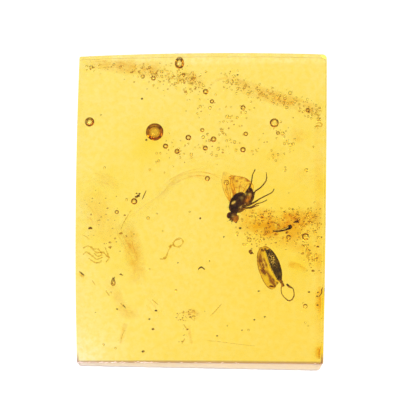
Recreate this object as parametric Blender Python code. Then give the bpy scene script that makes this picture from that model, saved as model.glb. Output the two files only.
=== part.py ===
"""A ground slab of amber with a small fly, a plant husk and a dark splinter sealed in it.

The slab lies on its flat base with its polished face up. It is parted in two along a slanting plane
through its middle, and each sealed thing lies in a pocket that the two halves share. X runs along the
short side, Y along the long side. Sizes are in millimetres and become metres as each mesh is made.
"""

import math

import bmesh
import bpy
import numpy as np
from mathutils import Matrix

MM = 0.001

# The slab: its corners seen from above, front left first and then round anticlockwise.
TOP_CORNERS = ((-9.9, -12.2), (9.42, -12.5), (10.06, 12.55), (-9.9, 12.5))
BASE_CORNERS = ((-9.8, -12.3), (9.3, -12.72), (10.06, 12.55), (-9.9, 12.5))
SIDE_BULGES = (0.0, 0.06, 0.16, 0.18)
TOP_CORNER_RADII = (0.12, 0.15, 0.4, 0.15)
BASE_CORNER_RADII = (0.12, 0.75, 0.4, 0.15)
HALF_WIDTH = 10.0
HALF_LENGTH = 12.65
POINTS_PER_SIDE = 9
TOP_EDGE_BEVEL = 0.1
BASE_EDGE_BEVEL = 0.22
TOP_RING_SHARES = (0.86, 0.62, 0.34)

# Its thickness: at the centre, how it changes over half the width and half the length, and the worn corner.
CENTRE_THICKNESS = 3.25
RISE_TO_RIGHT = 0.6
FALL_TO_BACK = 0.4
TWIST = 0.3
CROWN = 0.2
WORN_CORNER_DEPTH = 0.55
WORN_CORNER_REACH = 5.0

# The plane that parts the slab.
PARTING_HEIGHT = 1.5
PARTING_RISE_TO_RIGHT = 0.4
PARTING_FALL_TO_BACK = 0.1
GAP = 0.3
CUTTER_SIZE = 40.0

# The fly lies on its right side with its back tilted up, head towards the front left.
FLY_CENTRE = (2.8, 0.49, 1.7)
FLY_HEADING = math.radians(-118)
FLY_ROLL = math.radians(65)
THORAX_RADII = (0.92, 0.50, 0.58)
SCUTELLUM_PLACE = (-0.72, 0.0, 0.34)
SCUTELLUM_RADII = (0.27, 0.22, 0.15)
HEAD_PLACE = (-0.28, -1.26, 0.05)
HEAD_HEADING = math.radians(-109)
HEAD_ROLL = math.radians(40)
HEAD_RADII = (0.31, 0.47, 0.40)
EYE_PLACE = (0.04, 0.31, 0.05)
EYE_RADII = (0.27, 0.21, 0.31)
ABDOMEN_PLACE = (0.93, 0.53, -0.03)
ABDOMEN_HEADING = math.radians(78)
ABDOMEN_RADII = (0.70, 0.42, 0.38)
ABDOMEN_RINGS = 4
ABDOMEN_RING_DEPTH = 0.05

# Each wing: where its base sits, its heading, its rise, and its length and reach to the left and right.
NEAR_WING = ((-0.40, -0.05, 0.28), math.radians(101), math.radians(3), (2.70, 0.28, 0.92))
FAR_WING = ((0.08, 0.05, -0.20), math.radians(79), math.radians(-6), (2.15, 0.62, 0.78))
WING_THICKNESS = 0.04
WING_WIDEST_POWER = 1.9
WING_TIP_POWER = 0.5
WING_CAMBER = 0.10
WING_WAVE = 0.06
VEIN_HEIGHT = 0.035

# Each limb as the points it runs through from the thorax or head, with its radius at each point.
FEMUR = 0.10
TIBIA = 0.06
TARSUS = 0.045
LIMBS = {
    "far_hind_leg": (
        (
            (0.60, 0.55, -0.15),
            (0.95, 1.15, -0.20),
            (1.17, 1.75, -0.25),
            (1.24, 2.25, -0.20),
            (1.45, 2.72, -0.10),
        ),
        (0.09, 0.08, TIBIA, TIBIA, TARSUS),
    ),
    "near_hind_leg": (
        (
            (0.35, -0.15, 0.15),
            (0.80, -0.22, 0.25),
            (1.21, 0.29, 0.30),
            (1.39, 0.85, 0.25),
            (1.86, 1.22, 0.20),
            (2.20, 1.60, 0.15),
            (2.36, 1.98, 0.10),
            (2.33, 2.43, 0.05),
        ),
        (FEMUR, FEMUR, FEMUR, 0.08, TIBIA, TIBIA, TARSUS, TARSUS),
    ),
    "near_middle_leg": (
        (
            (0.30, -0.30, 0.15),
            (0.85, -0.22, 0.32),
            (1.42, 0.04, 0.38),
            (1.85, 0.32, 0.35),
            (2.61, 0.72, 0.25),
            (2.84, 0.90, 0.20),
            (2.94, 1.10, 0.15),
        ),
        (0.10, 0.09, 0.075, TIBIA, TIBIA, TARSUS, TARSUS),
    ),
    "far_middle_leg": (
        (
            (0.20, -0.45, -0.05),
            (0.75, -0.42, -0.05),
            (1.12, -0.33, -0.02),
            (1.54, -0.10, 0.0),
            (1.97, 0.02, 0.02),
            (2.37, 0.22, 0.05),
        ),
        (0.10, 0.08, 0.065, TIBIA, TARSUS, TARSUS),
    ),
    "near_front_leg": (
        (
            (0.02, -0.45, 0.20),
            (0.24, -0.74, 0.30),
            (0.62, -0.56, 0.32),
            (1.05, -0.47, 0.22),
            (1.40, -0.30, 0.10),
            (1.72, -0.20, 0.05),
        ),
        (0.11, 0.12, 0.10, 0.05, 0.04, 0.035),
    ),
    "far_front_leg": (
        ((-0.05, -0.60, -0.10), (0.16, -0.95, -0.22), (0.45, -0.80, -0.30), (0.70, -0.62, -0.32)),
        (0.09, 0.09, 0.06, 0.04),
    ),
    "neck": (((-0.15, -0.70, 0.02), (-0.26, -1.10, 0.04)), (0.20, 0.20)),
    "mouthparts": (((-0.22, -1.35, 0.0), (-0.02, -1.58, -0.10)), (0.13, 0.07)),
}
LIMB_SIDES = 6

# The husk: two convex valves that meet in a groove, with a stub and a looped hair at its lower end.
HUSK_CENTRE = (5.36, -4.76, 1.85)
HUSK_HEADING = math.radians(-72.5)
HUSK_HALF_LENGTH = 1.80
HUSK_HALF_WIDTH = 0.885
HUSK_HALF_DEPTH = 0.42
HUSK_GROOVE_DEPTH = 0.16
HUSK_GROOVE_WIDTH = 0.16
HUSK_TIP_OFFSET = 0.25
STUB_ROUTE = ((0.70, -0.75, 0.0), (0.88, -1.02, 0.02), (1.10, -1.48, 0.05))
STUB_RADII = (0.16, 0.13, 0.10)
HAIR_ROUTE = (
    (1.00, -1.25, 0.03), (0.91, -1.69, 0.03), (0.98, -2.10, 0.02), (1.21, -2.40, 0.0), (1.50, -2.62, 0.0),
    (1.76, -2.52, 0.02), (1.91, -2.27, 0.05), (1.92, -1.97, 0.08), (1.81, -1.65, 0.10), (1.54, -1.50, 0.12),
    (1.34, -1.30, 0.12),
)
HAIR_RADII = (0.05, 0.04, 0.04, 0.045, 0.055, 0.06, 0.055, 0.05, 0.045, 0.10, 0.08)

# The dark splinter: a curved sliver with a knob at one end.
SPLINTER_ROUTE = (
    (5.62, -1.80, 1.82), (5.90, -1.79, 1.84), (6.17, -1.75, 1.85), (6.52, -1.68, 1.86), (6.80, -1.59, 1.88),
    (6.98, -1.48, 1.90), (7.10, -1.36, 1.90),
)
SPLINTER_RADII = (0.05, 0.08, 0.10, 0.11, 0.13, 0.19, 0.11)
SPLINTER_SIDES = 8

# Pockets as outlines seen from above, each measured from its own centre, and their half depths.
FLY_POCKET_CENTRE = (3.6, 1.1)
FLY_POCKET_OUTLINE = (
    (-2.30, -2.95), (-0.55, -3.10), (1.00, -2.30), (2.55, -1.05), (2.75, 0.55), (1.95, 2.20), (0.30, 2.75),
    (-2.25, 2.90), (-2.70, 1.00), (-2.45, -1.10),
)
FLY_POCKET_HALF_DEPTH = 1.0
HUSK_POCKET_CENTRE = (5.7, -5.2)
HUSK_POCKET_OUTLINE = (
    (-1.70, 2.60), (-1.75, 0.60), (-1.45, -1.20), (-0.30, -2.10), (1.00, -2.80), (2.20, -2.20), (2.15, -0.60),
    (1.35, 1.00), (0.50, 2.60), (-0.60, 2.95),
)
HUSK_POCKET_HALF_DEPTH = 0.85
SPLINTER_POCKET_CENTRE = (6.36, -1.62)
SPLINTER_POCKET_RADII = (1.25, 0.52, 0.60)
SPLINTER_POCKET_HEADING = math.radians(14)
POCKET_POINTS = 30
POCKET_LEVELS = 5
POCKET_SQUARENESS = 2.8

# The five largest gas bubbles: place seen from above, and radii across, along and upright.
BUBBLES = (
    ((-3.81, 6.38), (0.66, 0.66, 0.62)),
    ((-1.82, 12.05), (0.36, 0.46, 0.42)),
    ((-9.03, 7.22), (0.37, 0.37, 0.37)),
    ((5.79, 7.00), (0.36, 0.37, 0.36)),
    ((8.22, -2.26), (0.30, 0.30, 0.32)),
)


def clear_scene():
    for old in list(bpy.data.objects):
        bpy.data.objects.remove(old, do_unlink=True)


def make_material(name, colour, roughness, transmission=0.0):
    """A Principled material; colour is linear RGB."""
    material = bpy.data.materials.new(name)
    material.use_nodes = True
    shader = material.node_tree.nodes["Principled BSDF"]
    shader.inputs["Base Color"].default_value = (*colour, 1.0)
    shader.inputs["Roughness"].default_value = roughness
    shader.inputs["Metallic"].default_value = 0.0
    shader.inputs["Transmission Weight"].default_value = transmission
    shader.inputs["IOR"].default_value = 1.54
    material.diffuse_color = (*colour, 1.0)
    return material


def add_object(name, mesh, material, location=(0, 0, 0), rotation=(0, 0, 0), parent=None):
    """A new object, placed in millimetres and radians."""
    thing = bpy.data.objects.new(name, mesh)
    bpy.context.scene.collection.objects.link(thing)
    thing.location = [value * MM for value in location]
    thing.rotation_euler = rotation
    thing.parent = parent
    if material is not None:
        mesh.materials.append(material)
    return thing


def mesh_from(name, points, faces, smooth_angle=None):
    """A mesh from points in millimetres, with its faces turned outwards."""
    mesh = bpy.data.meshes.new(name)
    mesh.from_pydata([[value * MM for value in point] for point in points], [], faces)
    shape = bmesh.new()
    shape.from_mesh(mesh)
    bmesh.ops.recalc_face_normals(shape, faces=shape.faces)
    shape.to_mesh(mesh)
    shape.free()
    if smooth_angle is not None:
        mesh.shade_smooth()
        mesh.set_sharp_from_angle(angle=smooth_angle)
    return mesh


def ring_mesh(name, rings, smooth_angle=None):
    """A closed skin over a row of rings of equal counts. A first or last ring of one point closes to a pole,
    and any other end is closed with one flat face."""
    points = []
    starts = []
    for ring in rings:
        starts.append(len(points))
        points.extend(ring)
    faces = []
    for index in range(len(rings) - 1):
        low, high = starts[index], starts[index + 1]
        low_count, high_count = len(rings[index]), len(rings[index + 1])
        count = max(low_count, high_count)
        for here in range(count):
            after = (here + 1) % count
            if low_count == 1:
                faces.append((low, high + after, high + here))
            elif high_count == 1:
                faces.append((low + here, low + after, high))
            else:
                faces.append((low + here, low + after, high + after, high + here))
    if len(rings[0]) > 1:
        faces.append(tuple(reversed(range(len(rings[0])))))
    if len(rings[-1]) > 1:
        faces.append(tuple(range(starts[-1], starts[-1] + len(rings[-1]))))
    return mesh_from(name, points, faces, smooth_angle)


def ball_mesh(name, radii, segments=14, rings=9, ridges=0, ridge_depth=0.0):
    """An ellipsoid lying along X, drawn in between its ridges if it has any."""
    stack = [[(-radii[0], 0.0, 0.0)]]
    for step in range(1, rings):
        along = -math.cos(math.pi * step / rings)
        wide = math.sqrt(1 - along * along) * (1 - ridge_depth * (1 + math.cos(along * math.pi * ridges)) / 2)
        stack.append([
            (along * radii[0], wide * radii[1] * math.cos(turn), wide * radii[2] * math.sin(turn))
            for turn in np.arange(segments) * math.tau / segments
        ])
    stack.append([(radii[0], 0.0, 0.0)])
    return ring_mesh(name, stack, math.radians(60))


def tube_mesh(name, route, radii, sides):
    """A round bar along a route, with its radius given at each point and flat ends."""
    route = np.array(route)
    ahead = np.gradient(route, axis=0)
    ahead /= np.linalg.norm(ahead, axis=1)[:, None]
    stack = []
    for place, direction, radius in zip(route, ahead, radii):
        side = np.cross(direction, (0.0, 0.0, 1.0))
        side /= np.linalg.norm(side)
        rise = np.cross(side, direction)
        stack.append([
            tuple(place + radius * (math.cos(turn) * side + math.sin(turn) * rise))
            for turn in np.arange(sides) * math.tau / sides
        ])
    return ring_mesh(name, stack, math.radians(60))


def hide_helper(helper):
    helper.hide_render = True
    helper.display_type = "WIRE"


def combine(target, others, operation):
    """Leaves one Boolean modifier on target for each of the others, which stay as hidden helpers."""
    for other in others:
        hide_helper(other)
        modifier = target.modifiers.new(other.name, "BOOLEAN")
        modifier.operation = operation
        modifier.solver = "EXACT"
        modifier.object = other


def thickness(x, y):
    """The slab's height over its base at a place seen from above."""
    right = x / HALF_WIDTH
    back = y / HALF_LENGTH
    to_corner = math.hypot(x + HALF_WIDTH, y + HALF_LENGTH)
    worn = WORN_CORNER_DEPTH * math.exp(-((to_corner / WORN_CORNER_REACH) ** 2))
    slope = RISE_TO_RIGHT * right - FALL_TO_BACK * back - TWIST * right * back
    return CENTRE_THICKNESS + slope - CROWN * (right * right + back * back) - worn


def parting_height(x, y):
    return PARTING_HEIGHT + PARTING_RISE_TO_RIGHT * x / HALF_WIDTH - PARTING_FALL_TO_BACK * y / HALF_LENGTH


def slab_outline(corners, radii, inset=0.0):
    """The slab seen from above: four slightly bowed sides with rounded corners, drawn in by inset."""
    outline = []
    for index in range(4):
        corner = np.array(corners[index])
        onward = np.array(corners[(index + 1) % 4])
        backward = np.array(corners[index - 1])
        along = onward - corner
        length = np.linalg.norm(along)
        outward = np.array((along[1], -along[0])) / length
        arrive = corner + (backward - corner) / np.linalg.norm(backward - corner) * radii[index]
        leave = corner + along / length * radii[index]
        outline.append(arrive * 0.5 + corner * 0.25 + leave * 0.25)
        outline.append(arrive * 0.25 + corner * 0.25 + leave * 0.5)
        for share in np.linspace(0.0, 1.0, POINTS_PER_SIDE + 2)[1:-1]:
            outline.append(corner + along * share + outward * SIDE_BULGES[index] * 4 * share * (1 - share))
    scale = np.array((1 - inset / HALF_WIDTH, 1 - inset / HALF_LENGTH))
    return [point * scale for point in outline]


def slab_mesh(name):
    """The whole slab, from its base ring up its sides and over its crowned face to the centre."""
    base_inset = slab_outline(BASE_CORNERS, BASE_CORNER_RADII, BASE_EDGE_BEVEL)
    base = slab_outline(BASE_CORNERS, BASE_CORNER_RADII)
    top = slab_outline(TOP_CORNERS, TOP_CORNER_RADII)
    top_inset = slab_outline(TOP_CORNERS, TOP_CORNER_RADII, TOP_EDGE_BEVEL)
    rings = [
        [(x, y, 0.0) for x, y in base_inset],
        [(x, y, BASE_EDGE_BEVEL) for x, y in base],
        [(x, y, thickness(x, y) - TOP_EDGE_BEVEL) for x, y in top],
        [(x, y, thickness(x, y)) for x, y in top_inset],
    ]
    for share in TOP_RING_SHARES:
        rings.append([(x * share, y * share, thickness(x * share, y * share)) for x, y in top])
    rings.append([(0.0, 0.0, thickness(0.0, 0.0))])
    return ring_mesh(name, rings)


def smooth_loop(corners, count):
    """A closed curve through the corners, as count points."""
    corners = np.array(corners)
    spans = len(corners)
    where = np.arange(count) * spans / count
    index = where.astype(int)
    part = (where - index)[:, None]
    before, start, end, after = (corners[(index + shift) % spans] for shift in (-1, 0, 1, 2))
    return 0.5 * (
        2 * start
        + (end - before) * part
        + (2 * before - 5 * start + 4 * end - after) * part**2
        + (3 * start - before - 3 * end + after) * part**3
    )


def pocket_mesh(name, centre, outline, half_depth):
    """A hollow with its rim on the parting plane, domed the same way above and below it."""
    loop = smooth_loop(outline, POCKET_POINTS)
    power = 2 / POCKET_SQUARENESS
    rings = []
    for level in range(-POCKET_LEVELS, POCKET_LEVELS + 1):
        angle = level / POCKET_LEVELS * math.pi / 2
        width = max(math.cos(angle), 0.0) ** power
        rise = math.copysign(abs(math.sin(angle)) ** power, angle) * half_depth
        spots = loop * width if abs(level) < POCKET_LEVELS else [(0.0, 0.0)]
        rings.append([
            (centre[0] + x, centre[1] + y, parting_height(centre[0] + x, centre[1] + y) + rise)
            for x, y in spots
        ])
    return ring_mesh(name, rings)


def add_ball(name, material, radii, location, rotation=(0, 0, 0), parent=None, **detail):
    return add_object(name, ball_mesh(name, radii, **detail), material, location, rotation, parent)


def add_half_space(name, side):
    """A box that takes one side of the slab away, and half the gap too. Side is 1 above and -1 below."""
    half = CUTTER_SIZE / 2
    near = -side * GAP / 2
    far = side * half
    corners = ((-half, -half), (half, -half), (half, half), (-half, half))
    rings = [[(x, y, height) for x, y in corners] for height in (near, far)]
    tilt = (
        -math.atan(PARTING_FALL_TO_BACK / HALF_LENGTH),
        -math.atan(PARTING_RISE_TO_RIGHT / HALF_WIDTH),
        0.0,
    )
    return add_object(name, ring_mesh(name, rings), None, (0.0, 0.0, PARTING_HEIGHT), tilt)


def wing_mesh(name, size):
    """A closed sheet from base to tip, widest near its rounded tip and gently cambered, with raised veins.
    Size is the length and the reach to the left and to the right."""
    length, left, right = size
    along_steps = 10
    across_steps = 12
    rings = []
    for step in range(along_steps):
        along = 0.06 + 0.925 * step / (along_steps - 1)
        reach = math.sin(math.pi * along**WING_WIDEST_POWER) ** WING_TIP_POWER
        upper = []
        lower = []
        for spot in range(across_steps + 1):
            across = 2 * spot / across_steps - 1
            sideways = across * reach * (left if across > 0 else right)
            wave = WING_WAVE * math.sin(3.2 * across + 2.0 * along)
            bow = WING_CAMBER * along * (1 - across * across) + wave
            vein = VEIN_HEIGHT if spot % 2 == 0 else 0.0
            half = (WING_THICKNESS / 2 + vein) * (1 - 0.6 * abs(across))
            upper.append((along * length, sideways, bow + half))
            lower.append((along * length, sideways, bow - half))
        rings.append(upper + lower[::-1])
    return ring_mesh(name, rings, math.radians(40))


def build_amber():
    clear_amber = make_material("clear_amber", (0.95, 0.68, 0.12), 0.06, transmission=0.6)
    lower = add_object("amber_lower", slab_mesh("amber_lower"), clear_amber)
    upper = add_object("amber_upper", slab_mesh("amber_upper"), clear_amber)
    fly_pocket = add_object(
        "fly_pocket",
        pocket_mesh("fly_pocket", FLY_POCKET_CENTRE, FLY_POCKET_OUTLINE, FLY_POCKET_HALF_DEPTH),
        None,
    )
    husk_pocket = add_object(
        "husk_pocket",
        pocket_mesh("husk_pocket", HUSK_POCKET_CENTRE, HUSK_POCKET_OUTLINE, HUSK_POCKET_HALF_DEPTH),
        None,
    )
    splinter_pocket = add_ball(
        "splinter_pocket",
        None,
        SPLINTER_POCKET_RADII,
        (*SPLINTER_POCKET_CENTRE, parting_height(*SPLINTER_POCKET_CENTRE)),
        (0.0, 0.0, SPLINTER_POCKET_HEADING),
    )
    pockets = [fly_pocket, husk_pocket, splinter_pocket]
    for number, (place, radii) in enumerate(BUBBLES, 1):
        height = parting_height(*place)
        pockets.append(add_ball(f"bubble_{number}", None, radii, (*place, height), segments=12, rings=8))
    combine(lower, [add_half_space("above_parting", 1), *pockets], "DIFFERENCE")
    combine(upper, [add_half_space("below_parting", -1), *pockets], "DIFFERENCE")


def build_fly():
    fly_brown = make_material("fly_brown", (0.06, 0.025, 0.012), 0.35)
    place = bpy.data.objects.new("fly_place", None)
    bpy.context.scene.collection.objects.link(place)
    place.location = [value * MM for value in FLY_CENTRE]
    body_turn = (FLY_ROLL, 0.0, FLY_HEADING)
    fly = add_ball("fly", fly_brown, THORAX_RADII, (0, 0, 0), body_turn, place, segments=16, rings=10)
    to_slab = Matrix.Rotation(FLY_HEADING, 4, "Z") @ Matrix.Rotation(FLY_ROLL, 4, "X")
    scutellum_spot = to_slab @ Matrix.Translation(SCUTELLUM_PLACE)
    others = [
        add_ball("scutellum", None, SCUTELLUM_RADII, scutellum_spot.translation, body_turn, place),
        add_ball("head", None, HEAD_RADII, HEAD_PLACE, (HEAD_ROLL, 0.0, HEAD_HEADING), place),
    ]
    head_turn = Matrix.Rotation(HEAD_HEADING, 4, "Z") @ Matrix.Rotation(HEAD_ROLL, 4, "X")
    for side, name in ((1, "left_eye"), (-1, "right_eye")):
        eye_place = (EYE_PLACE[0], side * EYE_PLACE[1], EYE_PLACE[2])
        spot = Matrix.Translation(HEAD_PLACE) @ head_turn @ Matrix.Translation(eye_place)
        others.append(
            add_ball(name, None, EYE_RADII, spot.translation, (HEAD_ROLL, 0.0, HEAD_HEADING), place)
        )
    others.append(
        add_ball(
            "abdomen", None, ABDOMEN_RADII, ABDOMEN_PLACE, (FLY_ROLL, 0.0, ABDOMEN_HEADING), place,
            segments=16, rings=14, ridges=ABDOMEN_RINGS, ridge_depth=ABDOMEN_RING_DEPTH,
        )
    )
    for name, (base, heading, rise, size) in (("near_wing", NEAR_WING), ("far_wing", FAR_WING)):
        others.append(add_object(name, wing_mesh(name, size), None, base, (0.0, -rise, heading), place))
    for name, (route, radii) in LIMBS.items():
        others.append(add_object(name, tube_mesh(name, route, radii, LIMB_SIDES), None, parent=place))
    combine(fly, others, "UNION")


def husk_mesh(name):
    """Two valves side by side: an ellipse along X whose top and bottom dip in a groove along the middle."""
    along_steps = 14
    across_steps = 12
    rings = [[(-HUSK_HALF_LENGTH, -0.05, 0.0)]]
    for step in range(1, along_steps):
        along = -math.cos(math.pi * step / along_steps)
        wide = math.sqrt(1 - along * along)
        bend = -HUSK_TIP_OFFSET * max(along, 0.0) ** 3
        upper = []
        lower = []
        for spot in range(across_steps + 1):
            across = -math.cos(math.pi * spot / across_steps)
            groove = math.exp(-((across / HUSK_GROOVE_WIDTH) ** 2)) * HUSK_GROOVE_DEPTH
            height = wide * (HUSK_HALF_DEPTH * math.sqrt(max(1 - across * across, 0.0)) - groove)
            spot_place = (along * HUSK_HALF_LENGTH, across * wide * HUSK_HALF_WIDTH + bend)
            upper.append((*spot_place, height))
            if 0 < spot < across_steps:
                lower.append((*spot_place, -0.8 * height))
        rings.append(upper + lower[::-1])
    rings.append([(HUSK_HALF_LENGTH, -HUSK_TIP_OFFSET, 0.0)])
    return ring_mesh(name, rings, math.radians(50))


def build_husk():
    husk_olive = make_material("husk_olive", (0.16, 0.10, 0.03), 0.4)
    place = bpy.data.objects.new("husk_place", None)
    bpy.context.scene.collection.objects.link(place)
    place.location = [value * MM for value in HUSK_CENTRE]
    turn = (0.0, 0.0, HUSK_HEADING)
    husk = add_object("plant_husk", husk_mesh("plant_husk"), husk_olive, rotation=turn, parent=place)
    stub = add_object("husk_stub", tube_mesh("husk_stub", STUB_ROUTE, STUB_RADII, 8), None, parent=place)
    hair = add_object("husk_hair", tube_mesh("husk_hair", HAIR_ROUTE, HAIR_RADII, 6), None, parent=place)
    combine(husk, [stub, hair], "UNION")


def build_splinter():
    bark_brown = make_material("bark_brown", (0.04, 0.018, 0.008), 0.5)
    add_object(
        "dark_splinter",
        tube_mesh("dark_splinter", SPLINTER_ROUTE, SPLINTER_RADII, SPLINTER_SIDES),
        bark_brown,
    )


clear_scene()
build_amber()
build_fly()
build_husk()
build_splinter()
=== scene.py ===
"""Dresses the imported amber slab: clear golden resin with bubbles and haze, a small fly, a plant husk and
a dark splinter. Lengths in the tables below are millimetres, and become metres as each mesh is made."""

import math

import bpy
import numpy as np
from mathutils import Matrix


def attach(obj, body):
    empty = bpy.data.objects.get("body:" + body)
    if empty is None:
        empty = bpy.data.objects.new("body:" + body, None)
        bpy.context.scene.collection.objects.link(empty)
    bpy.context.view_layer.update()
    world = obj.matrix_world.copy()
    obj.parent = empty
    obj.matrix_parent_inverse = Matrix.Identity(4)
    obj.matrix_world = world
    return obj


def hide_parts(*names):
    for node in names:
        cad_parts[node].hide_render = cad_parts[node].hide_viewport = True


bl_info = {
    "name": "Insect in amber",
    "version": (1, 0, 0),
    "blender": (4, 5, 0),
    "location": "3D View > Sidebar > Amber",
    "description": "Builds a slab of amber with a fly sealed in it, piece by piece",
    "category": "Add Mesh",
}

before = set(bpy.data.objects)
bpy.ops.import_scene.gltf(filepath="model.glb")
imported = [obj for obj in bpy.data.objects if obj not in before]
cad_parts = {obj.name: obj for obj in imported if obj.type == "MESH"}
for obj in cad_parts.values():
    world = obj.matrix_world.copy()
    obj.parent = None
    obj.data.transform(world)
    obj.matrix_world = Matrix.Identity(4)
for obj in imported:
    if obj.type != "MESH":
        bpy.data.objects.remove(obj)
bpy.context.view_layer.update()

MM = 0.001
ROOT = "root"
SEED = 20
SEALED_IOR = 1.15
UP = np.array((0.0, 0.0, 1.0))

# The slab: corners seen from above, front left first and then round anticlockwise.
TOP_CORNERS = ((-9.9, -12.2), (9.42, -12.5), (10.02, 12.55), (-9.9, 12.5))
BASE_CORNERS = ((-9.8, -12.3), (9.45, -12.68), (10.02, 12.55), (-9.9, 12.5))
SIDE_BULGES = (0.0, 0.06, 0.157, 0.18)
TOP_CORNER_RADII = (0.12, 0.15, 0.4, 0.15)
BASE_CORNER_RADII = (0.12, 0.45, 0.4, 0.15)
HALF_WIDTH = 10.0
HALF_LENGTH = 12.65
CENTRE_THICKNESS = 3.247
RISE_TO_RIGHT = 0.6
FALL_TO_BACK = 0.4
TWIST = 0.3
CROWN = 0.2
WORN_CORNER_DEPTH = 0.55
WORN_CORNER_REACH = 5.0
SIDE_POINTS = 120
# Where the ground front face starts and how softly, and how matt the other sides are beside it.
FRONT_FACE_START = -11.5
FRONT_FACE_BLEND = 0.6
SIDE_GRIND = 0.08
GRAIN_DEPTH = 0.014
# Worn edges: the bevel under the base, what chips add to it in front, and how the top rim drops and waves.
BASE_BEVEL = 0.02
CHIPPED_BEVEL = 0.18
RIM_DROP = 0.04
RIM_WAVE = 0.02
RIM_INSET = 0.012
# Share of the top beyond which the front rim is tinted dark, as a painted shade line along its edge.
SHADED_RIM_SHARE = 0.987

# Large bubbles: place seen from above, share of the slab's depth, radius, stretch along Y, squash upright
# and how brown the skin about it is, a painted shade of the bubble's dark ring.
BUBBLES = (
    (-3.79, 6.34, 0.50, 0.70, 1.0, 0.72, 1.0),
    (-1.82, 12.05, 0.50, 0.37, 1.3, 0.95, 0.85),
    (-9.03, 7.22, 0.50, 0.37, 1.0, 0.85, 0.85),
    (5.79, 7.00, 0.55, 0.36, 1.0, 0.60, 0.75),
    (8.22, -2.26, 0.50, 0.28, 1.0, 0.70, 0.35),
    (-1.09, 5.82, 0.60, 0.22, 1.0, 0.80, 0.85),
    (-2.91, 5.19, 0.42, 0.20, 1.0, 0.90, 0.85),
    (-1.99, 4.69, 0.65, 0.20, 1.0, 1.00, 0.85),
    (0.29, 9.62, 0.55, 0.21, 1.0, 0.80, 0.85),
    (0.81, 8.85, 0.40, 0.17, 1.0, 0.90, 0.85),
    (3.29, 8.29, 0.50, 0.19, 1.0, 0.80, 0.85),
    (8.48, 8.07, 0.45, 0.17, 1.0, 0.80, 0.85),
    (6.08, 6.18, 0.50, 0.14, 1.0, 0.80, 0.85),
    (0.02, 6.43, 0.60, 0.15, 1.0, 0.80, 0.85),
    (0.93, 5.70, 0.50, 0.22, 1.0, 0.90, 0.85),
    (0.27, 5.00, 0.45, 0.20, 1.0, 1.00, 0.85),
    (3.51, 6.11, 0.55, 0.17, 1.0, 0.70, 0.85),
    (3.27, 4.80, 0.60, 0.21, 1.0, 0.80, 0.85),
    (0.45, 2.49, 0.50, 0.20, 1.0, 0.70, 0.7),
    (-5.40, 0.70, 0.50, 0.24, 1.0, 0.80, 0.85),
    (-6.78, -0.15, 0.50, 0.16, 1.0, 0.80, 0.6),
    (6.91, -2.28, 0.40, 0.20, 1.0, 0.80, 0.3),
    (8.15, -7.85, 0.60, 0.17, 1.0, 0.70, 0.5),
    (-4.78, 10.93, 0.50, 0.16, 1.0, 0.80, 0.6),
    (-3.92, 10.77, 0.55, 0.19, 1.0, 0.80, 0.85),
    (-7.02, -5.72, 0.50, 0.16, 2.0, 0.70, 0.8),
    (1.93, 2.06, 0.80, 0.21, 1.0, 0.50, 0.5),
)

# Bands of old flow: their route seen from above, half width, strength of their veil, share of the slab's
# depth, and how many small bubbles and specks are strewn along them. Hazes are bands of a deeper yellow;
# the fourth haze, along the right side, is painted shade instead.
BANDS = (
    (((-9.6, 12.1), (-7.9, 12.1), (-6.2, 11.8), (-3.9, 11.5), (-2.6, 11.3)), 0.75, 0.55, 0.55, 60, 70),
    (((-6.0, 11.3), (-3.4, 10.9), (-1.8, 10.6), (-0.3, 10.0)), 0.80, 0.0, 0.50, 60, 50),
    (((-2.0, 11.0), (-0.9, 10.8), (0.2, 10.0)), 0.60, 0.45, 0.50, 30, 30),
    (((2.0, 10.8), (3.9, 9.8), (6.3, 9.0), (8.5, 8.2), (9.6, 7.8)), 0.65, 0.55, 0.50, 150, 80),
    (((-4.0, 11.0), (-1.0, 9.6), (1.5, 8.2), (3.4, 7.0)), 1.70, 0.0, 0.60, 55, 30),
    (((-3.5, 4.6), (0.0, 5.0), (3.0, 5.0), (6.5, 4.5)), 1.20, 0.0, 0.45, 60, 20),
    (((6.0, 6.6), (7.0, 5.6), (7.6, 4.6)), 0.80, 0.0, 0.50, 14, 6),
    (((-2.0, -8.7), (-1.1, -8.3), (-0.2, -8.7)), 0.40, 0.0, 0.50, 0, 30),
    (((-1.6, -9.3), (-1.2, -9.9), (-1.5, -10.6)), 0.30, 0.0, 0.50, 0, 12),
    (((-9.0, 1.8), (-8.0, -1.0), (-6.0, -2.6)), 1.80, 0.0, 0.50, 0, 45),
)
HAZES = (
    (((2.6, -0.5), (4.2, -0.9), (5.8, -1.2), (7.4, -1.3), (9.5, -1.3)), 1.30, 0.95, 0.28, 160, 130),
    (((4.6, -0.7), (6.6, -0.9), (8.4, -0.6), (9.5, -0.7)), 0.80, 0.60, 0.33, 60, 80),
    (((3.6, -2.4), (5.8, -2.2), (8.0, -3.0), (9.2, -5.0)), 0.95, 0.35, 0.32, 90, 60),
    # Painted shade: a darker band along the right side.
    (((9.3, 8.0), (9.3, 2.0), (9.3, -6.0), (9.2, -11.8)), 0.45, 0.25, 0.50, 0, 0),
    (((6.8, -4.4), (7.5, -4.6), (8.3, -4.95)), 0.30, 1.00, 0.45, 0, 0),
    (((9.45, -6.2), (9.3, -7.3), (9.35, -8.6)), 0.42, 1.00, 0.5, 0, 4),
    (((9.1, -11.0), (9.15, -11.5), (9.2, -12.0)), 0.30, 1.00, 0.5, 0, 0),
    (((7.0, 6.2), (7.6, 6.0), (8.4, 5.6)), 0.65, 0.35, 0.55, 0, 0),
    (((5.3, 4.6), (5.9, 4.2), (6.5, 4.3)), 0.55, 0.25, 0.55, 0, 0),
    (((7.2, 2.8), (8.2, 2.6), (8.9, 2.2)), 0.70, 0.15, 0.5, 0, 0),
)

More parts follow.
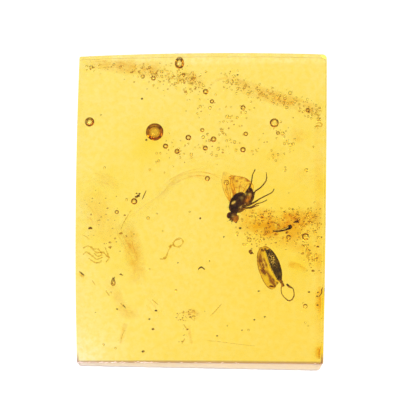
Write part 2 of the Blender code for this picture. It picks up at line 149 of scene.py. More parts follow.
# Faint wisps: route, half width, strength and share of the slab's depth.
WISPS = (
    (((1.6, 2.0), (0.4, 2.5), (-1.0, 2.8), (-2.1, 2.3), (-3.3, 1.2), (-4.9, -0.2)), 0.36, 0.13, 0.5),
    (((-6.2, -0.9), (-5.7, -2.4), (-5.3, -4.0), (-5.1, -6.0)), 0.85, 0.62, 0.4),
    (((-9.6, 1.6), (-8.4, 0.4), (-7.8, -1.6), (-7.4, -3.2)), 1.50, 0.24, 0.45),
    (((-8.6, 2.8), (-7.6, 2.4), (-6.6, 1.6)), 0.60, 0.14, 0.5),
    (((-7.6, -5.5), (-6.8, -6.6), (-6.4, -7.6), (-5.6, -8.4)), 0.50, 0.28, 0.5),
    (((-9.9, -4.9), (-9.65, -5.1), (-9.3, -5.3)), 0.18, 1.00, 0.5),
    (((0.6, 10.2), (1.6, 10.7), (2.8, 10.6), (4.0, 10.0)), 0.14, 0.35, 0.5),
    (((-6.6, -7.9), (-5.6, -8.2), (-5.0, -8.0)), 0.60, 0.30, 0.5),
    (((-1.6, -8.4), (-0.7, -8.3), (-0.2, -8.7)), 0.40, 0.35, 0.5),
    (((-1.0, -9.2), (-0.9, -10.2), (-0.7, -10.8)), 0.14, 0.35, 0.5),
    (((-6.0, -9.0), (-6.15, -9.7), (-6.4, -10.7)), 0.22, 0.75, 0.5),
)

# Sheets of threads: route, half width, how many threads, strength and share of the slab's depth.
THREADS = (
    (((2.3, 1.9), (1.3, 2.5), (0.0, 2.9), (-1.2, 2.8), (-2.4, 2.2), (-3.3, 1.2)), 0.48, 5, 0.85, 0.55),
    (((-1.9, 2.7), (-3.05, 1.4), (-4.4, 0.3), (-5.5, -0.6), (-6.0, -1.3)), 0.60, 5, 0.45, 0.60),
    (((-6.5, -0.9), (-6.1, -2.0), (-5.7, -3.0), (-5.2, -4.2)), 0.70, 6, 0.75, 0.55),
    (((-9.5, 2.6), (-8.0, 2.4), (-6.8, 1.8)), 0.75, 6, 0.35, 0.60),
    (((-9.6, 0.4), (-8.9, -0.4), (-8.3, -1.4)), 0.90, 6, 0.35, 0.60),
    (((-9.5, 12.1), (-7.5, 12.0), (-5.5, 11.6), (-3.0, 11.2)), 0.50, 6, 0.60, 0.40),
    (((-1.5, 11.3), (-0.9, 10.6), (-0.3, 9.9)), 0.80, 6, 0.60, 0.40),
    (((2.6, 10.4), (4.6, 9.6), (7.0, 8.8), (9.4, 8.1)), 0.70, 6, 0.45, 0.40),
    (((-2.0, 4.0), (0.5, 4.2), (3.0, 3.9)), 0.70, 4, 0.20, 0.40),
    (((-4.5, -6.6), (-3.8, -7.6), (-3.2, -8.6)), 0.50, 4, 0.40, 0.50),
)

# Places of deeper or, below zero, paler colour seen from above, with their radius and strength.
HONEY_PLACES = (
    (6.5, -1.2, 3.4, 0.22), (3.5, 1.6, 2.6, 0.13), (7.0, -7.0, 4.0, 0.09), (-4.1, 5.3, 1.5, 0.30),
    (-7.5, 1.5, 2.8, 0.14), (-5.9, -3.6, 1.4, 0.16), (-7.9, -2.6, 1.5, 0.13), (-0.2, 5.2, 1.6, -0.07),
    (8.5, 5.6, 0.9, 0.14), (5.8, 4.2, 1.3, 0.10), (7.7, -4.6, 0.7, 0.18), (9.80, -6.9, 0.50, 0.45),
    (9.75, -7.8, 0.55, 0.50), (9.65, -8.6, 0.40, 0.30), (9.5, -11.4, 0.6, 0.35), (9.8, -4.0, 0.8, 0.20),
    (-9.8, -12.2, 2.8, -0.45), (-9.6, -6.0, 1.8, -0.10), (-0.6, -1.6, 2.6, -0.04), (9.6, 10.5, 0.9, -0.12),
    (-2.0, 10.0, 5.0, -0.03), (9.9, 2.0, 1.0, 0.22), (-9.9, 4.0, 0.9, -0.10), (-9.9, 0.0, 0.9, -0.10),
    (-9.9, -3.5, 0.9, -0.10),
)
HONEY_LEVEL = 0.66
# The pale strip along the back edge: its Y, half width and strength, and the X at which it starts.
PALE_STRIP = (12.25, 0.46, 0.78)
PALE_STRIP_START = -7.3
FRONT_FACE_HONEY = 0.0
# The three marks of the walls of small, large and the largest bubbles.
SMALL_BUBBLE_WALL = (0.0, 0.30, 0.0)
LARGE_BUBBLE_WALL = (0.0, 0.20, 0.0)
LARGEST_BUBBLE_WALL = (0.30, 0.8, 0.0)
LARGEST_BUBBLE_RADIUS = 0.6
# How brown the largest bubble's skin is over its middle, besides its painted shade ring.
LARGEST_BUBBLE_TINT = 0.35
SKIN_GAP = 0.015

# What loose things stay clear of: the slab's faces, each other, and round each sealed piece a reach about a
# place seen from above.
FACE_MARGIN = 0.3
BUBBLE_GAP = 0.03
VEIL_MARGIN = 0.12
VEIL_ROWS = 70
VEIL_HALF_THICKNESS = 0.006
THREAD_COLUMNS = 41
THREAD_HALF_WIDTH = 0.042
SEALED_LEVEL = 1.75
SEALED_PLACES = ((3.6, 1.3, 3.2), (5.7, -5.3, 2.9), (6.4, -1.6, 1.2))

# How far out bubbles and specks lie, seen from above.
BUBBLES_FROM_LEFT = -9.5
BUBBLES_TO_RIGHT = 9.3
SPECKS_TO_SIDE = 9.6
STREWN_TO_END = 12.0

# Specks: place seen from above and width.
SPECKS = (
    (-4.82, 9.06, 0.22), (2.86, 11.00, 0.18), (-0.13, -0.75, 0.24), (1.76, -2.20, 0.18),
    (0.61, -4.17, 0.18), (3.03, -1.59, 0.24), (3.84, -3.38, 0.30), (3.93, -3.52, 0.34),
    (3.80, -3.52, 0.20), (3.95, -3.24, 0.15), (4.51, -6.57, 0.20), (8.04, -3.01, 0.20),
    (8.79, -5.05, 0.20), (4.98, -8.62, 0.20), (4.12, -8.91, 0.24), (8.45, -6.72, 0.20),
    (-8.88, -1.42, 0.32), (-9.60, -5.06, 0.30), (-5.22, 1.02, 0.30), (-5.08, 1.14, 0.30),
    (-4.98, 1.30, 0.24), (-5.20, 1.32, 0.20), (-6.69, -7.89, 0.20), (-6.42, -5.12, 0.22),
    (-6.30, -5.20, 0.14), (-3.60, -8.08, 0.20), (-4.12, -8.75, 0.20), (-3.83, -9.55, 0.24),
    (-4.59, -11.29, 0.24), (-0.88, -8.60, 0.20), (7.63, -1.12, 0.24), (3.18, -9.68, 0.16),
    (1.21, -10.14, 0.16), (-8.11, 7.78, 0.14), (-1.88, -4.30, 0.16), (7.59, -0.98, 0.22),
    (7.50, -1.06, 0.20), (-4.45, 5.72, 0.22), (9.10, -7.05, 0.24), (9.18, -6.72, 0.18),
    (9.16, -7.70, 0.20), (9.20, -3.05, 0.20), (9.45, -2.35, 0.20), (7.20, -0.05, 0.20),
    (7.60, -0.45, 0.16), (6.55, -0.20, 0.14), (8.40, -2.95, 0.14), (6.80, -2.60, 0.18),
)

# Length, width and thickness of every crumb beside its size.
CRUMB_SHAPE = (1.0, 0.75, 0.6)

# Fine fibres: route seen from above and radius.
FIBRES = (
    (((-2.05, -2.38), (-1.65, -2.34), (-1.49, -2.66), (-1.73, -2.98), (-2.08, -2.98), (-2.36, -2.86),
      (-2.46, -3.00), (-2.68, -3.42), (-2.88, -3.93), (-3.31, -3.99)), 0.055),
    (((-1.70, -2.40), (-2.06, -2.46), (-2.26, -2.72), (-2.12, -2.94)), 0.060),
    (((-2.40, -2.88), (-2.50, -2.95), (-2.58, -3.04)), 0.085),
    (((-2.80, -3.80), (-2.92, -3.88), (-3.06, -3.92)), 0.085),
    (((-5.61, 0.0), (-5.96, -0.57), (-6.27, -1.13), (-6.45, -1.59)), 0.030),
    (((-6.43, -7.42), (-6.11, -7.75)), 0.040),
    (((-9.46, -3.04), (-9.14, -2.88), (-8.82, -2.96), (-8.42, -3.37), (-7.86, -3.37), (-7.54, -3.69),
      (-7.30, -3.85)), 0.060),
    (((-9.46, -3.53), (-9.14, -3.37), (-8.66, -3.69), (-8.34, -3.94), (-7.86, -3.77)), 0.055),
    (((-8.98, -3.85), (-8.50, -4.18), (-8.10, -4.18), (-7.94, -4.02)), 0.060),
    (((-7.70, -2.96), (-7.54, -3.37), (-7.38, -3.85), (-7.62, -4.18)), 0.050),
    (((-8.74, -3.12), (-8.26, -3.12), (-7.94, -3.53), (-8.26, -3.69), (-8.58, -3.45)), 0.055),
    (((-9.55, -1.95), (-9.20, -2.10), (-8.95, -2.35)), 0.025),
    (((-1.96, -8.77), (-1.74, -8.33), (-1.20, -8.23), (-0.24, -8.33)), 0.020),
    (((-0.61, -8.44), (-0.56, -8.88), (-0.94, -8.66)), 0.025),
    (((-1.42, -9.21), (-1.10, -9.64)), 0.040),
    (((-1.30, -10.3), (-1.55, -10.7)), 0.040),
    (((-1.95, -8.85), (-1.60, -8.80), (-1.20, -8.95)), 0.018),
    (((0.40, -10.48), (2.23, -10.70), (4.18, -10.95)), 0.014),
    (((0.69, -8.55), (1.13, -8.08), (1.56, -7.60)), 0.028),
    (((-3.92, -7.19), (-3.43, -7.62)), 0.030),
    (((-6.40, -10.6), (-6.25, -10.0), (-6.05, -9.55)), 0.022),
    (((-8.70, -5.6), (-8.45, -6.0)), 0.035),
    (((-7.60, -6.4), (-7.30, -6.85)), 0.045),
    (((9.1, 6.95), (9.45, 7.0), (9.6, 6.9), (9.5, 6.7), (9.15, 6.75), (9.3, 6.5)), 0.050),
    (((9.35, 8.05), (9.6, 8.0)), 0.035),
    (((5.76, 6.62), (5.74, 6.48)), 0.050),
    (((9.35, -11.0), (9.22, -11.5), (9.20, -12.0)), 0.040),
)

# Dark hairs: route seen from above and radius.
DARK_HAIRS = (
    (((-4.44, 1.56), (-4.61, 1.16), (-4.76, 0.84)), 0.035),
    (((7.27, -1.12), (7.47, -1.04), (7.75, -0.88)), 0.070),
    (((9.55, -6.35), (9.45, -6.55), (9.46, -6.80), (9.25, -7.05)), 0.045),
    (((-9.72, -4.90), (-9.55, -5.04), (-9.35, -5.20)), 0.050),
    (((-0.28, -4.84), (-0.12, -4.68), (0.02, -4.66), (0.26, -4.84)), 0.060),
    (((-7.10, -6.05), (-7.04, -5.75), (-6.90, -5.35)), 0.035),
    (((-6.20, -7.55), (-6.00, -7.85)), 0.030),
)

# The fly: its places in the slab, from the solid that it stands for.
FLY_CENTRE = (2.8, 0.49, 1.7)
FLY_HEADING = math.radians(-122)
FLY_ROLL = math.radians(65)
THORAX_RADII = (0.92, 0.50, 0.58)
SCUTELLUM_PLACE = (-0.62, 0.0, 0.20)
SCUTELLUM_RADII = (0.27, 0.22, 0.15)
HEAD_PLACE = (-0.30, -1.12, 0.05)
HEAD_HEADING = math.radians(-122)
HEAD_ROLL = math.radians(25)
HEAD_RADII = (0.31, 0.47, 0.40)
EYE_PLACE = (0.04, 0.31, 0.05)
EYE_RADII = (0.27, 0.21, 0.31)
ABDOMEN_PLACE = (0.93, 0.53, -0.03)
ABDOMEN_HEADING = math.radians(78)
ABDOMEN_RADII = (0.70, 0.42, 0.38)
# Cross furrows of the thorax: share along it and depth.
THORAX_FURROWS = ((-0.12, 0.05), (0.55, 0.05), (-0.62, 0.07))
# The three simple eyes on the head's own axes.
SIMPLE_EYES = ((0.06, 0.0, 0.39), (-0.02, 0.05, 0.39), (-0.02, -0.05, 0.39))

# Each wing as its base and the points that its margin runs through, measured from the fly's centre, then
# its rise, how far its veins reach and how much its tip fades.
NEAR_WING = (
    (-0.42, 0.00, -0.12),
    ((-0.52, 0.05), (-0.74, 0.30), (-1.00, 0.80), (-1.18, 1.40), (-1.24, 2.05), (-1.14, 2.46),
     (-0.92, 2.52), (-0.45, 2.28), (-0.10, 1.90), (0.02, 1.45), (-0.06, 0.80), (-0.26, 0.20)),
    0.42, 0.74, 0.70,
)
FAR_WING = (
    (0.08, 0.05, -0.25),
    ((-0.12, 0.30), (-0.38, 1.00), (-0.52, 1.70), (-0.50, 2.25), (0.10, 2.20), (0.58, 2.10), (0.98, 1.85),
     (1.24, 1.56), (1.34, 1.28), (1.18, 0.90), (0.60, 0.35)),
    -0.12, 1.0, 0.0,
)
FILM_HALF_THICKNESS = 0.008
TIP_FADE_START = 0.66
# Veins: share round the margin and share of the way to it. Cross veins: share of the way to the margin,
# and the shares round it where they start and end.
VEINS = (
    (0.06, 0.86), (0.18, 0.80), (0.33, 0.90), (0.46, 0.84), (0.58, 0.88), (0.70, 0.92), (0.82, 0.85),
    (0.92, 0.7),
)
CROSS_VEINS = ((0.55, 0.34, 0.46), (0.62, 0.46, 0.58), (0.38, 0.2, 0.33))
# Brown blotches of the wings: place from the fly's centre, radius and strength.
WING_BLOTCHES = (
    (-0.01, 1.80, 0.09, 3.0), (-0.25, 2.05, 0.20, 0.8), (0.05, 2.12, 0.16, 0.6),
    (0.42, 2.12, 0.20, 0.8), (0.80, 1.93, 0.18, 0.8), (0.98, 1.66, 0.13, 2.4),
    (1.02, 1.50, 0.10, 1.4), (-0.92, 1.55, 0.06, 2.0), (0.15, 1.25, 0.25, 0.35),
    (0.75, 1.0, 0.25, 0.35), (-1.05, 2.35, 0.18, 0.6), (-0.75, 0.95, 0.30, 0.3),
)

# Each limb as the points it runs through, measured from the fly's centre, with its radius at each point.
LIMBS = (
    (
        ((0.60, 0.55, -0.15), (0.95, 1.15, -0.20), (1.17, 1.75, -0.25), (1.24, 2.25, -0.20),
         (1.45, 2.72, -0.10)),
        (0.09, 0.08, 0.045, 0.04, 0.03),
    ),
    (
        ((0.35, -0.15, 0.15), (0.80, -0.22, 0.25), (1.21, 0.29, 0.30), (1.39, 0.85, 0.25), (1.86, 1.22, 0.20),
         (2.20, 1.60, 0.15), (2.36, 1.98, 0.10), (2.33, 2.43, 0.05)),
        (0.10, 0.10, 0.10, 0.07, 0.05, 0.045, 0.035, 0.03),
    ),
    (
        ((0.30, -0.30, 0.15), (0.85, -0.22, 0.32), (1.42, 0.04, 0.38), (1.85, 0.32, 0.35), (2.61, 0.72, 0.25),
         (2.84, 0.90, 0.20), (2.94, 1.10, 0.15)),
        (0.10, 0.09, 0.07, 0.05, 0.045, 0.035, 0.03),
    ),
    (
        ((0.20, -0.45, -0.05), (0.75, -0.42, -0.05), (1.12, -0.33, -0.02), (1.54, -0.10, 0.0),
         (1.97, 0.02, 0.02), (2.37, 0.22, 0.05)),
        (0.10, 0.08, 0.06, 0.045, 0.035, 0.03),
    ),
    (
        ((0.02, -0.40, 0.20), (0.24, -0.60, 0.30), (0.62, -0.44, 0.32), (1.05, -0.43, 0.22),
         (1.40, -0.30, 0.10), (1.72, -0.20, 0.05)),
        (0.10, 0.10, 0.09, 0.05, 0.04, 0.03),
    ),
    (
        ((-0.05, -0.55, -0.10), (0.12, -0.70, -0.18), (0.38, -0.62, -0.25), (0.66, -0.44, -0.28)),
        (0.08, 0.08, 0.06, 0.04),
    ),
)
LEG_SPINES = 26
# Where the shell carries pale painted highlights, a warm painted glow of light shining through its thin
# parts, or a purple sheen: place from the fly's centre, radius and strength.
HIGHLIGHT_SPOTS = (
    (-0.37, -0.06, 0.07, 1.2), (-0.29, 0.00, 0.08, 1.3), (-0.21, 0.06, 0.07, 1.2), (0.22, -0.50, 0.08, 1.1),
    (0.31, -0.42, 0.09, 1.3), (0.39, -0.34, 0.08, 1.2), (0.37, 0.39, 0.14, 0.30), (0.65, 0.70, 0.11, 0.8),
    (0.99, 0.64, 0.11, 0.7), (-0.70, -0.74, 0.12, 0.8), (-0.34, -1.10, 0.10, 0.4),
)
# Warm spots: partly the thin shell's own orange brown, partly a painted glow of light shining through it.
WARM_GLOW_SPOTS = (
    (0.96, 0.30, 0.26, 0.9), (0.80, 0.05, 0.26, 0.9), (1.05, 0.55, 0.15, 0.7), (-0.10, -1.22, 0.26, 1.0),
    (0.89, 1.07, 0.18, 0.4), (0.10, 0.85, 0.20, 0.3), (0.55, -0.35, 0.16, 0.5),
)
PURPLE_SPOTS = ((0.10, 0.48, 0.20, 0.9), (-0.10, -0.15, 0.15, 0.4))

# The husk and the splinter, from the solids that they stand for.
HUSK_CENTRE = (5.36, -4.76, 1.85)
HUSK_HEADING = math.radians(-72.5)
HUSK_HALF_LENGTH = 1.80
HUSK_HALF_WIDTH = 0.885
HUSK_HALF_DEPTH = 0.42
HUSK_GROOVE_DEPTH = 0.16
HUSK_GROOVE_WIDTH = 0.16
HUSK_TIP_OFFSET = 0.16
HUSK_BLUNT_END = 0.06
HUSK_RIM = 0.032
SEAM_LEVEL = 0.11
SEAM_CLIMB = 0.31
DARK_VALVE_ENDS = (-0.80, 0.735)
# Blotches of the thin valve: place along and across, half sizes and strength.
HUSK_BLOTCHES = (
    (-0.93, -0.46, 0.26, 0.12, 1.5), (-0.60, -0.62, 0.50, 0.15, 0.9), (-0.72, -0.20, 0.20, 0.07, 1.1),
    (-0.38, -0.40, 0.32, 0.08, 1.0), (-0.30, -0.17, 0.24, 0.08, 1.2), (0.03, -0.57, 0.22, 0.15, 1.9),
    (0.29, -0.48, 0.18, 0.09, 1.2), (0.30, -0.30, 0.15, 0.07, 0.8), (0.52, -0.24, 0.24, 0.09, 1.6),
    (0.98, -0.14, 0.28, 0.15, 1.9), (1.12, -0.02, 0.24, 0.08, 1.3), (1.40, -0.06, 0.18, 0.11, 1.5),
    (-1.50, -0.20, 0.12, 0.16, 0.7), (-1.50, 0.15, 0.14, 0.12, 1.0), (-1.20, -0.35, 0.20, 0.10, 0.6),
)
# Dark knots at the husk's two ends: place along and across, and half sizes.
HUSK_KNOTS = (
    (-1.58, -0.14, 0.12, 0.09), (-1.46, -0.06, 0.09, 0.07), (-1.53, 0.10, 0.09, 0.06),
    (1.42, -0.36, 0.10, 0.15), (1.49, -0.24, 0.09, 0.10), (1.50, -0.04, 0.11, 0.06),
    (1.33, 0.20, 0.10, 0.07), (-1.30, 0.30, 0.10, 0.06),
)
KNOT_THICKNESS = 0.08
# Where the thin valve ends across, at shares along it near the stub.
VALVE_END_PLACES = (0.68, 0.76, 0.84, 1.0)
VALVE_ENDS = (0.96, 0.74, 0.50, 0.30)
# The middles of the pink streak, as place along and across.
HUSK_STREAK = ((-1.0, -0.26), (-0.62, -0.29), (-0.25, -0.30))
STUB_ROUTE = ((0.70, -0.75, 0.0), (0.88, -1.02, 0.02), (1.10, -1.48, 0.05))
STUB_RADII = (0.16, 0.13, 0.10)
HAIR_ROUTE = (
    (1.00, -1.25, 0.03), (0.91, -1.69, 0.03), (0.98, -2.10, 0.02), (1.21, -2.40, 0.0), (1.50, -2.62, 0.0),
    (1.76, -2.52, 0.02), (1.91, -2.27, 0.05), (1.92, -1.97, 0.08), (1.81, -1.65, 0.10), (1.54, -1.50, 0.12),
    (1.34, -1.30, 0.12),
)
HAIR_RADII = (0.05, 0.035, 0.035, 0.04, 0.045, 0.05, 0.045, 0.04, 0.035, 0.09, 0.07)
SPLINTER_ROUTE = (
    (5.62, -1.80, 1.82), (5.90, -1.79, 1.84), (6.17, -1.75, 1.85), (6.52, -1.68, 1.86), (6.80, -1.59, 1.88),
    (6.98, -1.48, 1.90), (7.10, -1.36, 1.90),
)
SPLINTER_RADII = (0.05, 0.08, 0.10, 0.11, 0.13, 0.19, 0.11)
PALE_BARK_ENDS = (5.75, 6.85)

# The softboxes: name, azimuth, elevation and share of the lamp power. The stage's lengths are in metres.
SOFTBOXES = (("front_softbox", -25, 42, 1.0), ("side_softbox", 60, 30, 0.5))
SOFTBOX_SIZE = 0.12
SOFTBOX_DISTANCE = 0.22
SOFTBOX_TARGET = (0.0, 0.0, 0.002)
SENSOR_WIDTH = 36.0
NEAREST_VIEW = 0.001


def thickness(x, y):
    """Height of the polished face: a plane that rises to the right and falls to the back, twisted and
    crowned, less a bell-shaped dip at the worn front left corner."""
    right = x / HALF_WIDTH
    back = y / HALF_LENGTH
    to_corner = np.hypot(x + HALF_WIDTH, y + HALF_LENGTH)
    worn = WORN_CORNER_DEPTH * np.exp(-((to_corner / WORN_CORNER_REACH) ** 2))
    slope = RISE_TO_RIGHT * right - FALL_TO_BACK * back - TWIST * right * back
    return CENTRE_THICKNESS + slope - CROWN * (right * right + back * back) - worn


def depth_place(x, y, share):
    """Points at a share of the slab's depth, as an array of X, Y and Z."""
    x, y = np.asarray(x, float), np.asarray(y, float)
    return np.stack([x, y, thickness(x, y) * share], -1)


# Shapes: each part is its points, a list of face arrays, and three marks from 0 to 1 for every point.

def grid_faces(rows, columns, wrap):
    """Quads between neighbours of a grid of points; wrap joins the last column to the first."""
    steps = np.arange(columns if wrap else columns - 1)
    row, column = np.meshgrid(np.arange(rows - 1) * columns, steps, indexing="ij")
    after = (column + 1) % columns
    corners = [row + column, row + after, row + columns + after, row + columns + column]
    return np.stack(corners, -1).reshape(-1, 4)


def volume_of(points, faces):
    """Signed volume of a closed part: a sixth of the sum of the triple products of its triangles."""
    total = 0.0
    for block in faces:
        corners = points[block]
        for corner in range(1, block.shape[1] - 1):
            crossed = np.cross(corners[:, corner], corners[:, corner + 1])
            total += np.einsum("ij,ij->", corners[:, 0], crossed)
    return total / 6


def facing_out(points, faces, marks=None):
    """The part with its faces turned so that its volume is positive, and marks given to every point."""
    if volume_of(points, faces) < 0:
        faces = [block[:, ::-1] for block in faces]
    return points, faces, np.broadcast_to(0.0 if marks is None else marks, (len(points), 3))


def mark_stack(first, second=0.0, third=0.0):
    """The three marks side by side for every point."""
    return np.stack(np.broadcast_arrays(first, second, third), -1)


def ring_skin(rings, marks=None):
    """A closed part over a grid of rings, each end drawn to a pole at the middle of its last ring."""
    rows, columns, _ = rings.shape
    points = np.concatenate([rings.reshape(-1, 3), rings[:1].mean(1), rings[-1:].mean(1)])
    here = np.arange(columns)
    after = (here + 1) % columns
    first_pole = np.full(columns, rows * columns)
    last = (rows - 1) * columns
    faces = [
        grid_faces(rows, columns, True),
        np.stack([first_pole, after, here], -1),
        np.stack([first_pole + 1, last + here, last + after], -1),
    ]
    if marks is not None:
        marks = np.concatenate([marks.reshape(-1, 3), marks[:1].mean(1), marks[-1:].mean(1)])
    return facing_out(points, faces, marks)


def leaf_skin(middle, half, rise, marks=None):
    """A closed thin part about a grid of middle points: the grid moved by half a thickness to either side
    along rise, joined along its borders."""
    rows, columns, _ = middle.shape
    offset = half[..., None] * rise
    rings = np.concatenate([middle + offset, (middle - offset)[:, ::-1]], 1)
    points = rings.reshape(-1, 3)
    width = 2 * columns
    step = np.arange(columns - 1)
    cap = np.stack([step + 1, step, width - 1 - step, width - 2 - step], -1)
    faces = [grid_faces(rows, width, True), cap, cap[:, ::-1] + (rows - 1) * width]
    if marks is not None:
        marks = np.concatenate([marks, marks[:, ::-1]], 1).reshape(-1, 3)
    return facing_out(points, faces, marks)


def turn_matrix(heading, roll=0.0):
    """Turns X to a heading in plan, after rolling about X."""
    ahead, aside = math.cos(heading), math.sin(heading)
    level, tilt = math.cos(roll), math.sin(roll)
    turn_z = np.array([[ahead, -aside, 0], [aside, ahead, 0], [0, 0, 1]])
    turn_x = np.array([[1, 0, 0], [0, level, -tilt], [0, tilt, level]])
    return turn_z @ turn_x


def placed(part, spot, turn=None):
    """The part turned by a matrix and moved to a spot."""
    points, faces, marks = part
    if turn is not None:
        points = points @ turn.T
    return points + np.asarray(spot, float), faces, marks


def stained(part, addition):
    """The part with something added to its three marks."""
    points, faces, marks = part
    return points, faces, marks + addition


def ball_grid(rows, columns):
    """Unit directions in rings about X, from -X to +X, leaving out both poles."""
    along = -np.cos(np.linspace(0, math.pi, rows + 2)[1:-1])[:, None]
    turn = np.arange(columns)[None, :] * math.tau / columns
    wide = np.sqrt(1 - along**2)
    return np.stack([along + 0 * turn, wide * np.cos(turn), wide * np.sin(turn)], -1)


def smooth_route(corners, count):
    """A curve through the corners: cubic pieces whose slopes are half the step between neighbours."""
    corners = np.asarray(corners, float)
    padded = np.concatenate([2 * corners[:1] - corners[1:2], corners, 2 * corners[-1:] - corners[-2:-1]])
    where = np.linspace(0, len(corners) - 1, count)
    index = np.minimum(where.astype(int), len(corners) - 2)
    part = (where - index)[:, None]
    before, start, end, after = (padded[index + shift] for shift in range(4))
    return 0.5 * (
        2 * start
        + (end - before) * part
        + (2 * before - 5 * start + 4 * end - after) * part**2
        + (3 * start - before - 3 * end + after) * part**3
    )


def route_on_plan(corners, count):
    """A curve through corners seen from above, at height zero."""
    return smooth_route([(*spot, 0.0) for spot in corners], count)


def radii_along(count, radii, places=None):
    """Radii at evenly spaced places along a bar, between the radii given."""
    if places is None:
        places = np.linspace(0, 1, len(radii))
    return np.interp(np.linspace(0, 1, count), places, radii)


def route_frame(route):
    """Directions along, sideways and upwards at each point of a route."""
    ahead = np.gradient(route, axis=0)
    ahead /= np.linalg.norm(ahead, axis=1)[:, None]
    side = np.cross(ahead, UP)
    side /= np.maximum(np.linalg.norm(side, axis=1), 1e-6)[:, None]
    return ahead, side, np.cross(side, ahead)


def bar_skin(route, radii, sides=8, flatten=1.0):
    """A round or flattened bar: a circle of changing radius carried along a route."""
    _, side, rise = route_frame(route)
    turn = np.arange(sides) * math.tau / sides
    radii = np.asarray(radii, float)
    if radii.ndim == 1:
        radii = radii[:, None]
    sideways = (radii * np.cos(turn))[..., None] * side[:, None]
    upwards = (radii * np.sin(turn) * flatten)[..., None] * rise[:, None]
    return ring_skin(route[:, None] + sideways + upwards)


def joined(parts):
    """All parts as one."""
    starts = np.cumsum([0] + [len(part[0]) for part in parts[:-1]])
    points = np.concatenate([part[0] for part in parts])
    faces = [block + start for part, start in zip(parts, starts) for block in part[1]]
    return points, faces, np.concatenate([part[2] for part in parts])


def repeated(part, spots, sizes):
    """Copies of one part, each scaled by its own size (a number or three) and moved to its own spot."""
    points, faces, marks = part
    sizes = np.asarray(sizes, float)
    if sizes.ndim == 1:
        sizes = sizes[:, None]
    count = len(spots)
    moved = points[None] * sizes[:, None] + np.asarray(spots, float)[:, None]
    shift = np.arange(count)[:, None, None] * len(points)
    stacked = [(block[None] + shift).reshape(-1, block.shape[1]) for block in faces]
    return moved.reshape(-1, 3), stacked, np.tile(marks, (count, 1))


def hollow(part):
    """The part with its faces turned inwards, as the wall of a cavity."""
    points, faces, marks = part
    return points, [block[:, ::-1] for block in faces], marks


def make_piece(name, parts, material, sharp_angle=None, replaces=()):
    """One mesh object from parts in millimetres, riding on the frame."""
    points, faces, marks = joined(parts)
    corners = np.concatenate([block.ravel() for block in faces])
    counts = np.concatenate([np.full(len(block), block.shape[1]) for block in faces])
    mesh = bpy.data.meshes.new(name)
    mesh.vertices.add(len(points))
    mesh.vertices.foreach_set("co", (points * MM).ravel())
    mesh.loops.add(len(corners))
    mesh.loops.foreach_set("vertex_index", corners)
    mesh.polygons.add(len(counts))
    mesh.polygons.foreach_set("loop_start", np.cumsum(counts) - counts)
    mesh.update(calc_edges=True)
    mesh.attributes.new("marks", "FLOAT_VECTOR", "POINT").data.foreach_set("vector", marks.ravel())
    mesh.shade_smooth()
    if sharp_angle is not None:
        mesh.set_sharp_from_angle(angle=sharp_angle)
    mesh.materials.append(material)
    piece = bpy.data.objects.new(name, mesh)
    bpy.context.scene.collection.objects.link(piece)
    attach(piece, ROOT)
    if replaces:
        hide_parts(*replaces)


# Materials.

def add_node(tree, kind, **values):
    """A node whose input sockets or own settings are set by name."""
    node = tree.nodes.new(kind)
    for name, value in values.items():
        if hasattr(node, name) and name not in node.inputs:
            setattr(node, name, value)
            continue
        socket = node.inputs[name.replace("_", " ")]
        if isinstance(value, bpy.types.NodeSocket):
            tree.links.new(value, socket)
        else:
            socket.default_value = value
    return node


def start_group(name, inputs, outputs):
    """An empty shader group with float inputs, given as name and default, and outputs as name and type."""
    group = bpy.data.node_groups.new(name, "ShaderNodeTree")
    for label, default in inputs:
        socket = group.interface.new_socket(name=label, in_out="INPUT", socket_type="NodeSocketFloat")
        socket.default_value = default
    for label, kind in outputs:
        group.interface.new_socket(name=label, in_out="OUTPUT", socket_type=kind)
    return group, group.nodes.new("NodeGroupInput"), group.nodes.new("NodeGroupOutput")


def mottle_group():
    """Mask of soft blotches: fractal noise on Object coordinates, stretched between Low and High."""
    group = bpy.data.node_groups.get("blotches")
    if group is None:
        group, given, result = start_group(
            "blotches",
            (("Scale", 1000.0), ("Detail", 3.0), ("Low", 0.4), ("High", 0.6)),
            (("Mask", "NodeSocketFloat"),),
        )
        place = add_node(group, "ShaderNodeTexCoord")
        noise = add_node(
            group, "ShaderNodeTexNoise",
            Vector=place.outputs["Object"], Scale=given.outputs["Scale"], Detail=given.outputs["Detail"],
        )
        spread = add_node(
            group, "ShaderNodeMapRange", interpolation_type="SMOOTHSTEP",
            Value=noise.outputs["Fac"], From_Min=given.outputs["Low"], From_Max=given.outputs["High"],
        )
        group.links.new(spread.outputs["Result"], result.inputs["Mask"])
    return group


def relief_group():
    """Surface normal roughened by fractal noise on Object coordinates."""
    group = bpy.data.node_groups.get("fine_relief")
    if group is None:
        group, given, result = start_group(
            "fine_relief",
            (("Scale", 1000.0), ("Strength", 0.3), ("Distance", 0.00002)),
            (("Normal", "NodeSocketVector"),),
        )
        place = add_node(group, "ShaderNodeTexCoord")
        noise = add_node(
            group, "ShaderNodeTexNoise",
            Vector=place.outputs["Object"], Scale=given.outputs["Scale"], Detail=2.0,
        )
        bump = add_node(
            group, "ShaderNodeBump",
            Strength=given.outputs["Strength"], Distance=given.outputs["Distance"],
            Height=noise.outputs["Fac"],
        )
        group.links.new(bump.outputs["Normal"], result.inputs["Normal"])
    return group


def add_group(tree, group, **values):
    """A node of a shader group with its inputs set by name. Gives its first output."""
    node = tree.nodes.new("ShaderNodeGroup")
    node.node_tree = group
    for name, value in values.items():
        node.inputs[name].default_value = value
    return node.outputs[0]


def mottled(tree, scale, detail, low, high):
    """Mask of soft blotches as one socket."""
    return add_group(tree, mottle_group(), Scale=scale, Detail=detail, Low=low, High=high)


def roughen(tree, shader, scale, strength, distance):
    """Gives a shader's surface a fine relief, whose height is in metres."""
    relief = add_group(tree, relief_group(), Scale=scale, Strength=strength, Distance=distance)
    tree.links.new(relief, shader.inputs["Normal"])


